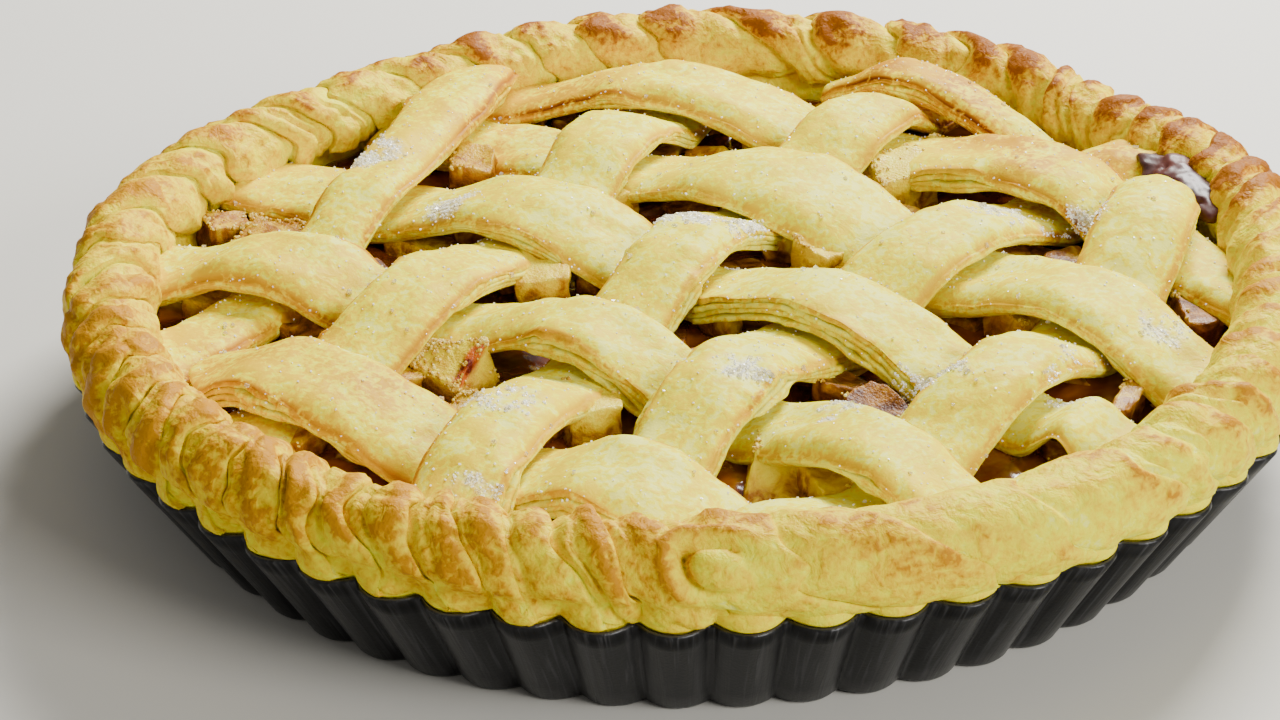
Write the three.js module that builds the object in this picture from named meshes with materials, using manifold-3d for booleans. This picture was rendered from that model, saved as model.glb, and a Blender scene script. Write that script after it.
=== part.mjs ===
// Lattice apple pie in its own dark fluted tart tin.
// Millimetres, +Z up, standing on Z = 0 with its middle on the Z axis.

import * as THREE from "three";
import { mergeVertices } from "three/addons/utils/BufferGeometryUtils.js";
import Module from "manifold-3d";

// ---------------------------------------------------------------- driving dimensions

const GAP = 0.3; // clearance between pieces that touch

const TIN_HEIGHT = 28.2;
const TIN_BASE_RADIUS = 121; // at the bottom of a crease between two flutes
const TIN_TOP_RADIUS = 135.6; // at the top of a crease
const TIN_SHEET = 0.8;
const TIN_EDGE_ROUND = 1.4; // rounding between base and wall
const FLUTE_COUNT = 60;
const FLUTE_DEPTH_TOP = 4.4;
const FLUTE_DEPTH_BASE = 2.8;
const FLUTE_STEPS = [0, 0.2, 0.5, 0.8]; // columns across one flute, a crease at 0

const CRUST_BASE = 5; // thickness of the pastry on the tin's base
const CRUST_WELL_RADIUS = 118; // where the crust's floor meets its wall
const CRUST_SHOULDER_RADIUS = 127;
const CRUST_TOP = 30;
const FRILL_LIP = 0.9; // how far the dough bulges past the tin's edge

const ROPE_RADIUS = 131.6; // centre line of the twisted rim
const ROPE_CENTRE_Z = 37;
const ROPE_THICKNESS = 9.9; // mean radius of the twisted section
const ROPE_LOBE = 1.1; // how far its two lobes stand out
const ROPE_TURNS = 23;
const ROPE_UNEVENNESS = 8; // the twist is tight at the back left and loose at the front right
const ROPE_TIGHTEST = 2.27; // radians, where the twist is tightest
const ROPE_STEPS_PER_TURN = 8;
const ROPE_SIDES = 10;
const ROPE_WAVE = 0.7; // wander of the rim's centre line
// Stretches where the rim shrank inwards and sagged while baking, by their angle and half
// length in radians round the pie.
const ROPE_SAGS = [
  { angle: 2.25, spread: 0.42, inward: 4.5, down: 1.6 },
  { angle: 0.6, spread: 0.16, inward: 3.5, down: 1.8 },
  { angle: 1.15, spread: 0.3, inward: -1.2, down: -0.3 },
];

const STRIP_THICKNESS = 5;
const STRIP_CROWN = 0.6; // the top's middle above its edges
const STRIP_BEVEL = 1.6;
const STRIP_STEP = 9; // length of one lofted step
const STRIP_END_GAP = 0.5; // strips are pressed down along the inside of the rim
const BOW_REACH = 115; // half length over which a strip's bow is given
const WEAVE_MIDDLE_Z = 38; // top of a strip half-way between an over and an under
const WEAVE_LIFT = 4.9; // rise over a crossing, and fall under one
const WEAVE_LEVEL = 0.3; // share of a crossing's half width over which a strip keeps level
const END_Z = 34.5; // top of a strip where it meets the rim
const END_RUN = 18; // length over which a strip comes down to the rim

const FILLING_TOP = 24.2;
const FILLING_RELIEF = 1.2;
const APPLE_TRIES = 3000;
const APPLE_SMALLEST = 4.5; // half of a chunk's shorter side
const APPLE_APART = 1.7; // chunks' spacing in their own half sides
const APPLE_LARGEST = 10;
const APPLE_GAP = 1.2; // clearance of a standing chunk to the strips beside it
const APPLE_TOP = [28.5, 33]; // tops of the chunks that stand up between the strips
const APPLE_SUNK = 4; // how deep a chunk sits in the filling
const LOW_APPLE_SIZE = [6.5, 9.5]; // half sides of the chunks that lie under the strips
const LOW_APPLE_TOP = [25.5, 27.4];
const LOW_APPLE_SPACING = 44;

// Each strip: direction in degrees, distance of its ends' chord from the middle, sideways bow,
// and widths at its start, middle and end. The a strips run from the back left to the front
// right, the b strips across them. A strip with "cuts" lies on top of its neighbour at its start
// or end and stops there, that far before the rim.
const STRIPS = {
  a1: { angle: -33.3, offset: -90, bow: -2, widths: [29, 26, 23], cuts: [8, 0] },
  a2: { angle: -34.7, offset: -67, bow: 24, widths: [27, 21, 22] },
  a3: { angle: -37.3, offset: -14, bow: 15, widths: [30, 25, 21] },
  a4: { angle: -39.6, offset: 27, bow: 16, widths: [26, 31, 23] },
  a5: { angle: -35.5, offset: 57, bow: 30, widths: [24.5, 30, 21.5] },
  a6: { angle: -41, offset: 101.6, bow: 8, widths: [15, 15, 14], cuts: [12, 6] },
  b1: { angle: 66.5, offset: 102, bow: -16, widths: [22, 16, 24] },
  b2: { angle: 62.4, offset: 52.7, bow: -7, widths: [21, 21, 24] },
  b3: { angle: 60.7, offset: -6.4, bow: 9.7, widths: [20, 20, 22] },
  b4: { angle: 51.8, offset: -57.5, bow: 18.7, widths: [17, 22, 23] },
  b5: { angle: 54.8, offset: -66, bow: -22, widths: [22, 23, 20], cuts: [0, 10] },
};
// Crossings that break the plain over-and-under weave.
const WEAVE_FAULTS = new Set(["a1 b1", "a4 b1"]);
// Crossings that are pushed up because their neighbours are close.
const WEAVE_RAISES = new Map([
  ["a1 b4", -0.6],
  ["a5 b3", 0.5],
  ["a5 b4", 0.9],
  ["a5 b5", 3],
  ["a6 b3", 2.4],
  ["a6 b4", -2.4],
]);

const COLOURS = {
  tin: { color: 0x1d1d20, roughness: 0.35, metalness: 0.6 },
  crust: { color: 0xe6cf8a, roughness: 0.8, metalness: 0 },
  rope: { color: 0xd9a548, roughness: 0.65, metalness: 0 },
  strip: { color: 0xe8d795, roughness: 0.65, metalness: 0 },
  filling: { color: 0xc79a45, roughness: 0.3, metalness: 0 },
};

// ---------------------------------------------------------------- small tools

// A repeatable draw of numbers from 0 to 1.
function seededDraw(seed) {
  let state = seed;
  return () => {
    state = (state * 1664525 + 1013904223) % 4294967296;
    return state / 4294967296;
  };
}

const lerp = THREE.MathUtils.lerp;
const smooth = (t) => t * t * (3 - 2 * t);

// A closed mesh from rings of points. Without "closed" its ends are capped by fans from their
// middles.
function loft(rings, closed) {
  const around = rings[0].length;
  const points = rings.flat();
  const faces = [];
  const last = closed ? rings.length : rings.length - 1;
  for (let ring = 0; ring < last; ring += 1) {
    const next = (ring + 1) % rings.length;
    for (let side = 0; side < around; side += 1) {
      const beside = (side + 1) % around;
      const a = ring * around + side;
      const b = ring * around + beside;
      const c = next * around + beside;
      const d = next * around + side;
      faces.push(a, b, c, a, c, d);
    }
  }
  if (!closed) {
    const first = points.length;
    points.push(middleOf(rings[0]), middleOf(rings[rings.length - 1]));
    const lastRing = (rings.length - 1) * around;
    for (let side = 0; side < around; side += 1) {
      const beside = (side + 1) % around;
      faces.push(first, beside, side);
      faces.push(first + 1, lastRing + side, lastRing + beside);
    }
  }
  return meshGeometry(points, faces);
}

function middleOf(ring) {
  const sum = ring.reduce((total, point) => total.add(point), new THREE.Vector3());
  return sum.divideScalar(ring.length);
}

// Six times the volume that the faces enclose, negative where they face inwards.
function signedVolume(points, faces) {
  let total = 0;
  for (let index = 0; index < faces.length; index += 3) {
    const [a, b, c] = [points[faces[index]], points[faces[index + 1]], points[faces[index + 2]]];
    total += a.dot(new THREE.Vector3().crossVectors(b, c));
  }
  return total;
}

function meshGeometry(points, faces) {
  if (signedVolume(points, faces) < 0) {
    faces.reverse();
  }
  const geometry = new THREE.BufferGeometry();
  const flat = points.flatMap((point) => [point.x, point.y, point.z]);
  geometry.setAttribute("position", new THREE.Float32BufferAttribute(flat, 3));
  geometry.setIndex(faces);
  return geometry;
}

function namedMesh(name, geometry, look) {
  geometry.computeVertexNormals();
  const mesh = new THREE.Mesh(geometry, new THREE.MeshStandardMaterial(look));
  mesh.name = name;
  return mesh;
}

// ---------------------------------------------------------------- tin

// Angles of all columns round the fluted wall, with how far each stands out from 0 to 1.
function fluteColumns() {
  const columns = [];
  for (let flute = 0; flute < FLUTE_COUNT; flute += 1) {
    for (const step of FLUTE_STEPS) {
      const angle = ((flute + step) / FLUTE_COUNT) * Math.PI * 2;
      columns.push({ angle, out: Math.sin(step * Math.PI) ** 0.6 });
    }
  }
  return columns;
}

function flutedRing(columns, radius, depth, z) {
  return columns.map(({ angle, out }) => {
    const reach = radius + depth * out;
    return new THREE.Vector3(reach * Math.cos(angle), reach * Math.sin(angle), z);
  });
}

function makeTin(columns) {
  const inner = TIN_SHEET;
  return loft(
    [
      flutedRing(columns, TIN_BASE_RADIUS - inner, FLUTE_DEPTH_BASE, TIN_SHEET),
      flutedRing(columns, TIN_TOP_RADIUS - inner, FLUTE_DEPTH_TOP, TIN_HEIGHT),
      flutedRing(columns, TIN_TOP_RADIUS, FLUTE_DEPTH_TOP, TIN_HEIGHT),
      flutedRing(columns, TIN_BASE_RADIUS + TIN_EDGE_ROUND / 2, FLUTE_DEPTH_BASE, TIN_EDGE_ROUND),
      flutedRing(columns, TIN_BASE_RADIUS - TIN_EDGE_ROUND, FLUTE_DEPTH_BASE, 0),
    ],
    false,
  );
}

// ---------------------------------------------------------------- pastry case

// The crust lines the tin and its dough bulges out over the edge into every flute. Its shallow
// well holds the filling.
function makePastryCase(columns) {
  const wallGap = TIN_SHEET + 2 * GAP;
  const lipZ = TIN_HEIGHT + 0.4;
  const lipSlope = (TIN_HEIGHT - TIN_SHEET) / (TIN_TOP_RADIUS - TIN_BASE_RADIUS);
  const lipInside = TIN_TOP_RADIUS - wallGap + (lipZ - TIN_HEIGHT) / lipSlope;
  return loft(
    [
      flutedRing(columns, CRUST_WELL_RADIUS, 0, TIN_SHEET + GAP + CRUST_BASE),
      flutedRing(columns, CRUST_SHOULDER_RADIUS, 0, CRUST_TOP),
      flutedRing(columns, TIN_TOP_RADIUS - 1, FLUTE_DEPTH_TOP + FRILL_LIP, CRUST_TOP),
      flutedRing(columns, lipInside, FLUTE_DEPTH_TOP, lipZ),
      flutedRing(columns, TIN_BASE_RADIUS - wallGap - GAP, FLUTE_DEPTH_BASE, TIN_SHEET + GAP),
    ],
    false,
  );
}

// ---------------------------------------------------------------- twisted rope rim

// Twist, in radians, of the rope's section at an angle round the pie. It falls as the angle
// grows, so the ridges lean from the upper inside down to the outside.
function ropeTwist(angle) {
  return -(ROPE_TURNS * angle + ROPE_UNEVENNESS * Math.sin(angle - ROPE_TIGHTEST));
}

// The angle round the pie where the twist has fallen by "amount" from its value at 0.
function ropeAngleAt(amount) {
  let low = 0;
  let high = Math.PI * 2;
  for (let halving = 0; halving < 40; halving += 1) {
    const middle = (low + high) / 2;
    if (ropeTwist(0) - ropeTwist(middle) < amount) {
      low = middle;
    } else {
      high = middle;
    }
  }
  return (low + high) / 2;
}

// Centre line of the rope at an angle round the pie: its radius and its height.
function ropeCentre(angle) {
  let radius = ROPE_RADIUS + ROPE_WAVE * Math.sin(5 * angle);
  let z = ROPE_CENTRE_Z + (ROPE_WAVE / 2) * Math.sin(3 * angle + 1);
  for (const sag of ROPE_SAGS) {
    const away = Math.atan2(Math.sin(angle - sag.angle), Math.cos(angle - sag.angle));
    const share = Math.exp(-((away / sag.spread) ** 2));
    radius -= sag.inward * share;
    z -= sag.down * share;
  }
  return { radius, z };
}

// Whether a point on the pie's top lies clear inside the rim.
function isInsideRim(point) {
  const inside = ropeCentre(point.angle()).radius - ROPE_THICKNESS - ROPE_LOBE;
  return point.length() < inside - STRIP_END_GAP;
}

// The rope's section is a two-lobed round that turns with the twist. Its underside is pressed
// flat on the crust.
function makeRope() {
  const steps = ROPE_TURNS * ROPE_STEPS_PER_TURN;
  const flatZ = CRUST_TOP + GAP;
  const rings = [];
  for (let step = 0; step < steps; step += 1) {
    const turned = (step / steps) * ROPE_TURNS * Math.PI * 2;
    const angle = ropeAngleAt(turned);
    const centre = ropeCentre(angle);
    const ring = [];
    for (let side = 0; side < ROPE_SIDES; side += 1) {
      const own = (-side / ROPE_SIDES) * Math.PI * 2;
      const around = own - turned;
      const thickness = ROPE_THICKNESS + ROPE_LOBE * Math.cos(2 * own);
      const radius = centre.radius + thickness * Math.cos(around);
      const z = Math.max(centre.z + thickness * Math.sin(around), flatZ);
      ring.push(new THREE.Vector3(radius * Math.cos(angle), radius * Math.sin(angle), z));
    }
    rings.push(ring);
  }
  return loft(rings, true);
}

// ---------------------------------------------------------------- lattice strips

// Adds to each strip its direction, its sideways direction and the place of its centre line.
function layOutStrip(name, strip) {
  const turn = THREE.MathUtils.degToRad(strip.angle);
  const along = new THREE.Vector2(Math.cos(turn), Math.sin(turn));
  const across = new THREE.Vector2(-along.y, along.x);
  const middle = (t) => strip.offset + strip.bow * (1 - (t / BOW_REACH) ** 2);
  const at = (t, side) => {
    const spread = middle(t) + side;
    return new THREE.Vector2(
      along.x * t + across.x * spread,
      along.y * t + across.y * spread,
    );
  };
  const width = (t) => {
    const [start, centre, end] = strip.widths;
    return lerp(centre, t < 0 ? start : end, Math.min(1, Math.abs(t) / BOW_REACH));
  };
  return { ...strip, name, along, across, middle, at, width };
}

// Where two strips' centre lines cross, as the length along the first.
function crossing(first, second) {
  let t = 0;
  for (let pass = 0; pass < 30; pass += 1) {
    const point = first.at(t, 0);
    const along = second.along.dot(point);
    const aside = second.across.dot(point) - second.middle(along);
    t -= aside / first.along.dot(second.across);
  }
  return t;
}

// The a strip lies on top where the two numbers add up to an odd one, but for the faults.
function firstIsOver(a, b) {
  const odd = (Number(a.name[1]) + Number(b.name[1])) % 2 === 1;
  return odd !== WEAVE_FAULTS.has(`${a.name} ${b.name}`);
}

// How far along its side line a strip reaches before it meets the rim, with sign -1 at its
// start and 1 at its end.
function rimAlong(strip, side, sign) {
  let inside = 0;
  let outside = sign * 160;
  for (let halving = 0; halving < 40; halving += 1) {
    const middle = (inside + outside) / 2;
    if (isInsideRim(strip.at(middle, side))) {
      inside = middle;
    } else {
      outside = middle;
    }
  }
  return inside;
}

// The same for the strip's own end, which a cut pulls back to a square end.
function endAlong(strip, side, sign) {
  const rim = rimAlong(strip, side, sign);
  const cut = strip.cuts ? strip.cuts[sign < 0 ? 0 : 1] : 0;
  if (cut === 0) {
    return rim;
  }
  const square = rimAlong(strip, 0, sign) - sign * cut;
  return sign < 0 ? Math.max(rim, square) : Math.min(rim, square);
}

// Heights of the strip's top at its ends and over or under every strip that it crosses. A strip
// comes down, or up, to the rim as far as its last crossing leaves it room.
function heightMarks(strip, others) {
  const isFirst = strip.name[0] === "a";
  const marks = [];
  for (const other of others) {
    const t = crossing(strip, other);
    if (isInsideRim(strip.at(t, 0))) {
      const [a, b] = isFirst ? [strip, other] : [other, strip];
      const raise = WEAVE_RAISES.get(`${a.name} ${b.name}`) ?? 0;
      const lift = firstIsOver(a, b) === isFirst ? WEAVE_LIFT : -WEAVE_LIFT;
      const half = other.width(crossing(other, strip)) / 2;
      marks.push({ t, half, z: WEAVE_MIDDLE_Z + raise + lift });
    }
  }
  marks.sort((a, b) => a.t - b.t);
  const endMark = (sign, last) => {
    const t = endAlong(strip, 0, sign);
    const free = THREE.MathUtils.clamp((Math.abs(t - last.t) - last.half) / END_RUN, 0, 1);
    return { t, half: 0, z: lerp(last.z, END_Z, free) };
  };
  return [endMark(-1, marks[0]), ...marks, endMark(1, marks[marks.length - 1])];
}

// Height of the strip's top along it. It keeps level over part of each crossing.
function heightAt(marks, t) {
  for (let index = 1; index < marks.length; index += 1) {
    const from = marks[index - 1];
    const to = marks[index];
    if (t <= to.t) {
      const leaves = from.t + WEAVE_LEVEL * from.half;
      const arrives = to.t - WEAVE_LEVEL * to.half;
      const share = THREE.MathUtils.clamp((t - leaves) / (arrives - leaves), 0, 1);
      return lerp(from.z, to.z, smooth(share));
    }
  }
  return marks[marks.length - 1].z;
}

// Outline of a strip's section over its half width: sideways place, and height over its
// underside.
function stripSection(half) {
  const top = STRIP_THICKNESS;
  return [
    { side: half - 0.5, z: 0 },
    { side: half, z: top - STRIP_BEVEL },
    { side: half - STRIP_BEVEL, z: top - STRIP_CROWN },
    { side: 0, z: top },
    { side: STRIP_BEVEL - half, z: top - STRIP_CROWN },
    { side: -half, z: top - STRIP_BEVEL },
    { side: 0.5 - half, z: 0 },
  ];
}

function makeStrip(strip, others) {
  const marks = heightMarks(strip, others);
  const start = marks[0].t;
  const end = marks[marks.length - 1].t;
  const steps = Math.ceil((end - start) / STRIP_STEP);
  const rings = [];
  for (let step = 0; step <= steps; step += 1) {
    const share = step / steps;
    const half = strip.width(lerp(start, end, share)) / 2;
    const ring = stripSection(half).map(({ side, z }) => {
      const t = lerp(endAlong(strip, side, -1), endAlong(strip, side, 1), share);
      const place = strip.at(t, side);
      return new THREE.Vector3(place.x, place.y, heightAt(marks, t) - STRIP_THICKNESS + z);
    });
    rings.push(ring);
  }
  return loft(rings, false);
}

// ---------------------------------------------------------------- filling

let wasm;

function toManifold(geometry) {
  const bare = geometry.clone();
  bare.deleteAttribute("normal");
  bare.deleteAttribute("uv");
  const merged = mergeVertices(bare, 1e-4);
  const mesh = new wasm.Mesh({
    numProp: 3,
    vertProperties: new Float32Array(merged.attributes.position.array),
    triVerts: new Uint32Array(merged.index.array),
  });
  return new wasm.Manifold(mesh);
}

function fromManifold(solid) {
  const mesh = solid.getMesh();
  const geometry = new THREE.BufferGeometry();
  geometry.setAttribute("position", new THREE.BufferAttribute(mesh.vertProperties, 3));
  geometry.setIndex(new THREE.BufferAttribute(mesh.triVerts, 1));
  return geometry;
}

// The bare filling: a low mound with a wavy top that fills the crust's well.
function makeFillingCore() {
  const sides = 36;
  const bottomZ = TIN_SHEET + CRUST_BASE + 2 * GAP + 0.2;
  const wallSlope = (CRUST_SHOULDER_RADIUS - CRUST_WELL_RADIUS) / (CRUST_TOP - bottomZ);
  const topRadius = CRUST_WELL_RADIUS + (FILLING_TOP - bottomZ) * wallSlope - 2 * GAP;
  const circle = (radius, height) => {
    const ring = [];
    for (let side = 0; side < sides; side += 1) {
      const angle = (side / sides) * Math.PI * 2;
      const x = radius * Math.cos(angle);
      const y = radius * Math.sin(angle);
      ring.push(new THREE.Vector3(x, y, height(x, y)));
    }
    return ring;
  };
  const wavy = (x, y) => {
    const waves = Math.sin(x / 9 + 1) * Math.cos(y / 11) + 0.5 * Math.sin((x + y) / 6);
    return FILLING_TOP + (FILLING_RELIEF * waves) / 1.5;
  };
  return loft(
    [
      circle(CRUST_WELL_RADIUS - 2 * GAP - 0.4, () => bottomZ),
      circle(topRadius - 1, () => FILLING_TOP - FILLING_RELIEF),
      circle(topRadius * 0.85, wavy),
      circle(topRadius * 0.62, wavy),
      circle(topRadius * 0.38, wavy),
      circle(topRadius * 0.16, wavy),
    ],
    false,
  );
}

// Half sides of the upright box that fits round a point between the strips and inside the rim.
function roomAt(point, strips) {
  const room = { a: APPLE_LARGEST, b: APPLE_LARGEST };
  for (const strip of strips) {
    const along = strip.along.dot(point);
    const aside = Math.abs(strip.across.dot(point) - strip.middle(along));
    const family = strip.name[0];
    room[family] = Math.min(room[family], aside - strip.width(along) / 2 - APPLE_GAP);
  }
  const rim = ROPE_RADIUS - ROPE_THICKNESS - ROPE_LOBE - 1 - point.length();
  const squeeze = THREE.MathUtils.clamp(rim / Math.hypot(room.a, room.b), 0, 1);
  return { a: room.a * squeeze, b: room.b * squeeze };
}

// Places for the chunks that stand up: the roomiest spots between the strips, largest first.
function tallApplePlaces(strips, draw) {
  const tries = [];
  for (let index = 0; index < APPLE_TRIES; index += 1) {
    const radius = ROPE_RADIUS * Math.sqrt(draw());
    const angle = draw() * Math.PI * 2;
    const point = new THREE.Vector2(radius * Math.cos(angle), radius * Math.sin(angle));
    const room = roomAt(point, strips);
    if (Math.min(room.a, room.b) > APPLE_SMALLEST) {
      tries.push({ point, ...room });
    }
  }
  tries.sort((first, second) => second.a * second.b - first.a * first.b);
  const kept = [];
  for (const spot of tries) {
    const isClear = kept.every(
      (other) => other.point.distanceTo(spot.point) > APPLE_APART * Math.max(other.a, other.b),
    );
    if (isClear) {
      kept.push(spot);
    }
  }
  return kept;
}

// One apple chunk: a box with a tapered and uneven top, sunk into the filling.
function makeAppleChunk({ point, a, b, turn, top }, draw) {
  const height = top - FILLING_TOP + APPLE_SUNK;
  const box = new THREE.BoxGeometry(2 * b, 2 * a, height);
  box.deleteAttribute("normal");
  box.deleteAttribute("uv");
  const chunk = mergeVertices(box);
  const corners = chunk.attributes.position;
  for (let index = 0; index < corners.count; index += 1) {
    if (corners.getZ(index) > 0) {
      corners.setX(index, corners.getX(index) * lerp(0.7, 1, draw()));
      corners.setY(index, corners.getY(index) * lerp(0.7, 1, draw()));
      corners.setZ(index, corners.getZ(index) - 1.6 * draw());
    }
  }
  chunk.rotateZ(turn);
  chunk.translate(point.x, point.y, top - height / 2);
  return chunk;
}

// Rows of low chunks all over the filling, each a little off its place.
function lowApples(draw) {
  const chunks = [];
  const reach = ROPE_RADIUS - ROPE_THICKNESS - LOW_APPLE_SIZE[1] * 1.5;
  for (let x = -reach; x <= reach; x += LOW_APPLE_SPACING) {
    for (let y = -reach; y <= reach; y += LOW_APPLE_SPACING) {
      const point = new THREE.Vector2(x + 6 * draw(), y + 6 * draw());
      const a = lerp(LOW_APPLE_SIZE[0], LOW_APPLE_SIZE[1], draw());
      const b = lerp(LOW_APPLE_SIZE[0], LOW_APPLE_SIZE[1], draw());
      const top = lerp(LOW_APPLE_TOP[0], LOW_APPLE_TOP[1], draw());
      const spot = { point, a, b, top, turn: draw() * Math.PI };
      if (point.length() < reach) {
        chunks.push(makeAppleChunk(spot, draw));
      }
    }
  }
  return chunks;
}

function tallApples(strips, draw) {
  const turn = THREE.MathUtils.degToRad(STRIPS.a3.angle);
  return tallApplePlaces(strips, draw).map((place) => {
    const top = lerp(APPLE_TOP[0], APPLE_TOP[1], draw());
    return makeAppleChunk({ ...place, turn, top }, draw);
  });
}

function makeFilling(strips) {
  const draw = seededDraw(7);
  let solid = toManifold(makeFillingCore());
  for (const chunk of [...tallApples(strips, draw), ...lowApples(draw)]) {
    solid = solid.add(toManifold(chunk));
  }
  return fromManifold(solid);
}

// ---------------------------------------------------------------- the pie

async function makePie() {
  wasm = await Module();
  wasm.setup();
  const columns = fluteColumns();
  const strips = Object.entries(STRIPS).map(([name, strip]) => layOutStrip(name, strip));
  const pie = new THREE.Group();
  pie.add(namedMesh("tin", makeTin(columns), COLOURS.tin));
  pie.add(namedMesh("pastry_case", makePastryCase(columns), COLOURS.crust));
  pie.add(namedMesh("filling", makeFilling(strips), COLOURS.filling));
  pie.add(namedMesh("rope_rim", makeRope(), COLOURS.rope));
  for (const strip of strips) {
    const others = strips.filter((other) => other.name[0] !== strip.name[0]);
    pie.add(namedMesh(`strip_${strip.name}`, makeStrip(strip, others), COLOURS.strip));
  }
  // The rim wanders a little, so the whole is moved until its box is centred.
  const box = new THREE.Box3().setFromObject(pie);
  const middle = box.getCenter(new THREE.Vector3());
  pie.position.set(-middle.x, -middle.y, -box.min.z);
  return pie;
}

export default await makePie();
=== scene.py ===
# %% [markdown]
# # A lattice apple pie in its fluted tin
#
# An apple pie is baked dough round a wet filling. The dough is rolled flat, cut into strips,
# woven over the fruit and closed by a twisted rope. This lesson dresses the pie's plain solids
# one by one: the tin, the crust, the rope, the woven strips, and at last the fruit, the syrup
# and the sugar. Sizes are written in millimetres, as a baker would measure them, and become
# Blender's metres at the moment a piece is made.

# %% Load the plain solids that every piece has to fit
import itertools
import math
import random

import bpy
import numpy as np
from mathutils import Euler, Matrix, Vector


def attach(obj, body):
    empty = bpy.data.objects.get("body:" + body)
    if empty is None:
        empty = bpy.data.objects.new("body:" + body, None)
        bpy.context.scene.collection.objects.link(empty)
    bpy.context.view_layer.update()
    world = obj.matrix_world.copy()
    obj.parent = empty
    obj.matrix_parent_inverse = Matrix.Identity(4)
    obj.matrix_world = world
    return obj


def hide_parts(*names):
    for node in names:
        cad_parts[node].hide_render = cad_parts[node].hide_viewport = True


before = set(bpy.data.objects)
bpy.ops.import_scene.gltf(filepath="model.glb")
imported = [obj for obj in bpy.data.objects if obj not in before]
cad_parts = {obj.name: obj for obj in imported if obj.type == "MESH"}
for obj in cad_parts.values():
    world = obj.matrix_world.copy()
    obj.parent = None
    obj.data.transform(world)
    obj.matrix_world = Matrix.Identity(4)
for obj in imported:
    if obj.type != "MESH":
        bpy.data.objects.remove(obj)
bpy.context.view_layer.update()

MM = 0.001
PIE_MIDDLE = np.array([-0.05, -0.57, 0.0])  # the lattice's own middle in the frame
print("solids:", ", ".join(sorted(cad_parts)))

# %% [markdown]
# ## The camera
#
# A camera comes first, because everything later is judged through it. It looks down on the pie
# at the height of somebody sitting at the table. Its turn is built from three directions, right,
# up and backwards, which are the columns of a camera's matrix in Blender.

# %% Camera
CAMERA_PLACE = Vector((-12.44, -573.48, 318.5)) * MM
CAMERA_AIM = Vector((-12.4, -34.8, 30.0)) * MM
CAMERA_ROLL = math.radians(-1.13)
CAMERA_LENS = 78.75
SENSOR_WIDTH = 36.0


def make_camera():
    bpy.ops.object.camera_add(location=CAMERA_PLACE)
    camera = bpy.context.object
    forward = (CAMERA_AIM - CAMERA_PLACE).normalized()
    level = forward.cross(Vector((0, 0, 1))).normalized()
    raised = level.cross(forward)
    right = math.cos(CAMERA_ROLL) * level + math.sin(CAMERA_ROLL) * raised
    up = right.cross(forward)
    camera.rotation_euler = Matrix((right, up, -forward)).transposed().to_euler()
    camera.data.lens = CAMERA_LENS
    camera.data.sensor_width = SENSOR_WIDTH
    bpy.context.scene.camera = camera


make_camera()
camera_drop = math.asin((CAMERA_PLACE - CAMERA_AIM).normalized().z)
print("camera looks down by", round(math.degrees(camera_drop), 1), "degrees")

# %% [markdown]
# ## Helpers for making shapes
#
# Baked dough is never even, so most shapes here start as a flat grid whose points are laid out by
# a formula and shaken by smooth noise. "rumple" is that noise, and "ramp" and "bell" are the two
# soft steps that the formulas use. "wrap_sheet" adds the grid with an operator, moves its points
# and welds the edges that meet, so that a sheet becomes a closed piece. The formula may also
# give masks, such as "brown" for how strongly a place is baked. They are kept on the points and
# read later by the material.

# %% Smooth noise
PRIMES = (374761393, 668265263, 1610612741)


def rumple(x, y, z=0.0, seed=0, period=None):
    """Smooth noise from -1 to 1 whose bumps lie about one unit apart along x, y and z."""
    place = np.stack(np.broadcast_arrays(x, y, z)).astype(float)
    cell = np.floor(place)
    rest = place - cell
    rest = rest * rest * (3 - 2 * rest)
    cell = cell.astype(np.int64)
    total = np.zeros(place.shape[1:])
    for corner in itertools.product((0, 1), repeat=3):
        key = np.full(total.shape, 7919 * (seed + 1), dtype=np.int64)
        weight = 1.0
        for axis, step in enumerate(corner):
            number = cell[axis] + step
            if period and axis == 0:
                number = number % period
            key = key + number * PRIMES[axis]
            weight = weight * (rest[axis] if step else 1 - rest[axis])
        key = (key ^ (key >> 13)) * 1274126177
        total += weight * (((key ^ (key >> 16)) & 0xFFFF) / 0x8000 - 1)
    return total


def ramp(low, high, value):
    """0 below "low", 1 above "high" and a smooth step between."""
    share = np.clip((value - low) / (high - low), 0, 1)
    return share * share * (3 - 2 * share)


def bell(value, spread):
    """1 where the value is 0, and almost nothing where it is twice the spread."""
    return np.exp(-((value / spread) ** 2))


print("noise at three spots:", np.round(rumple(np.array([0.3, 1.3, 2.3]), 0.5), 2))


# %% Add a primitive, read a mesh's points and keep masks on them
def add_piece(name, add, **settings):
    """Adds a primitive with nothing else selected."""
    bpy.ops.object.select_all(action="DESELECT")
    add(**settings)
    piece = bpy.context.object
    piece.name = name
    return piece


def read_vectors(vertices, kind="co"):
    """The places or normals of a mesh's points, one in a row."""
    flat = np.empty(len(vertices) * 3)
    vertices.foreach_get(kind, flat)
    return flat.reshape(-1, 3)


def keep_masks(mesh, masks):
    for mask, values in masks.items():
        mesh.attributes.new(mask, "FLOAT", "POINT").data.foreach_set("value", values)


# %% A grid sheet that a formula lays out and a weld closes
WELD = 2e-5


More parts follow.
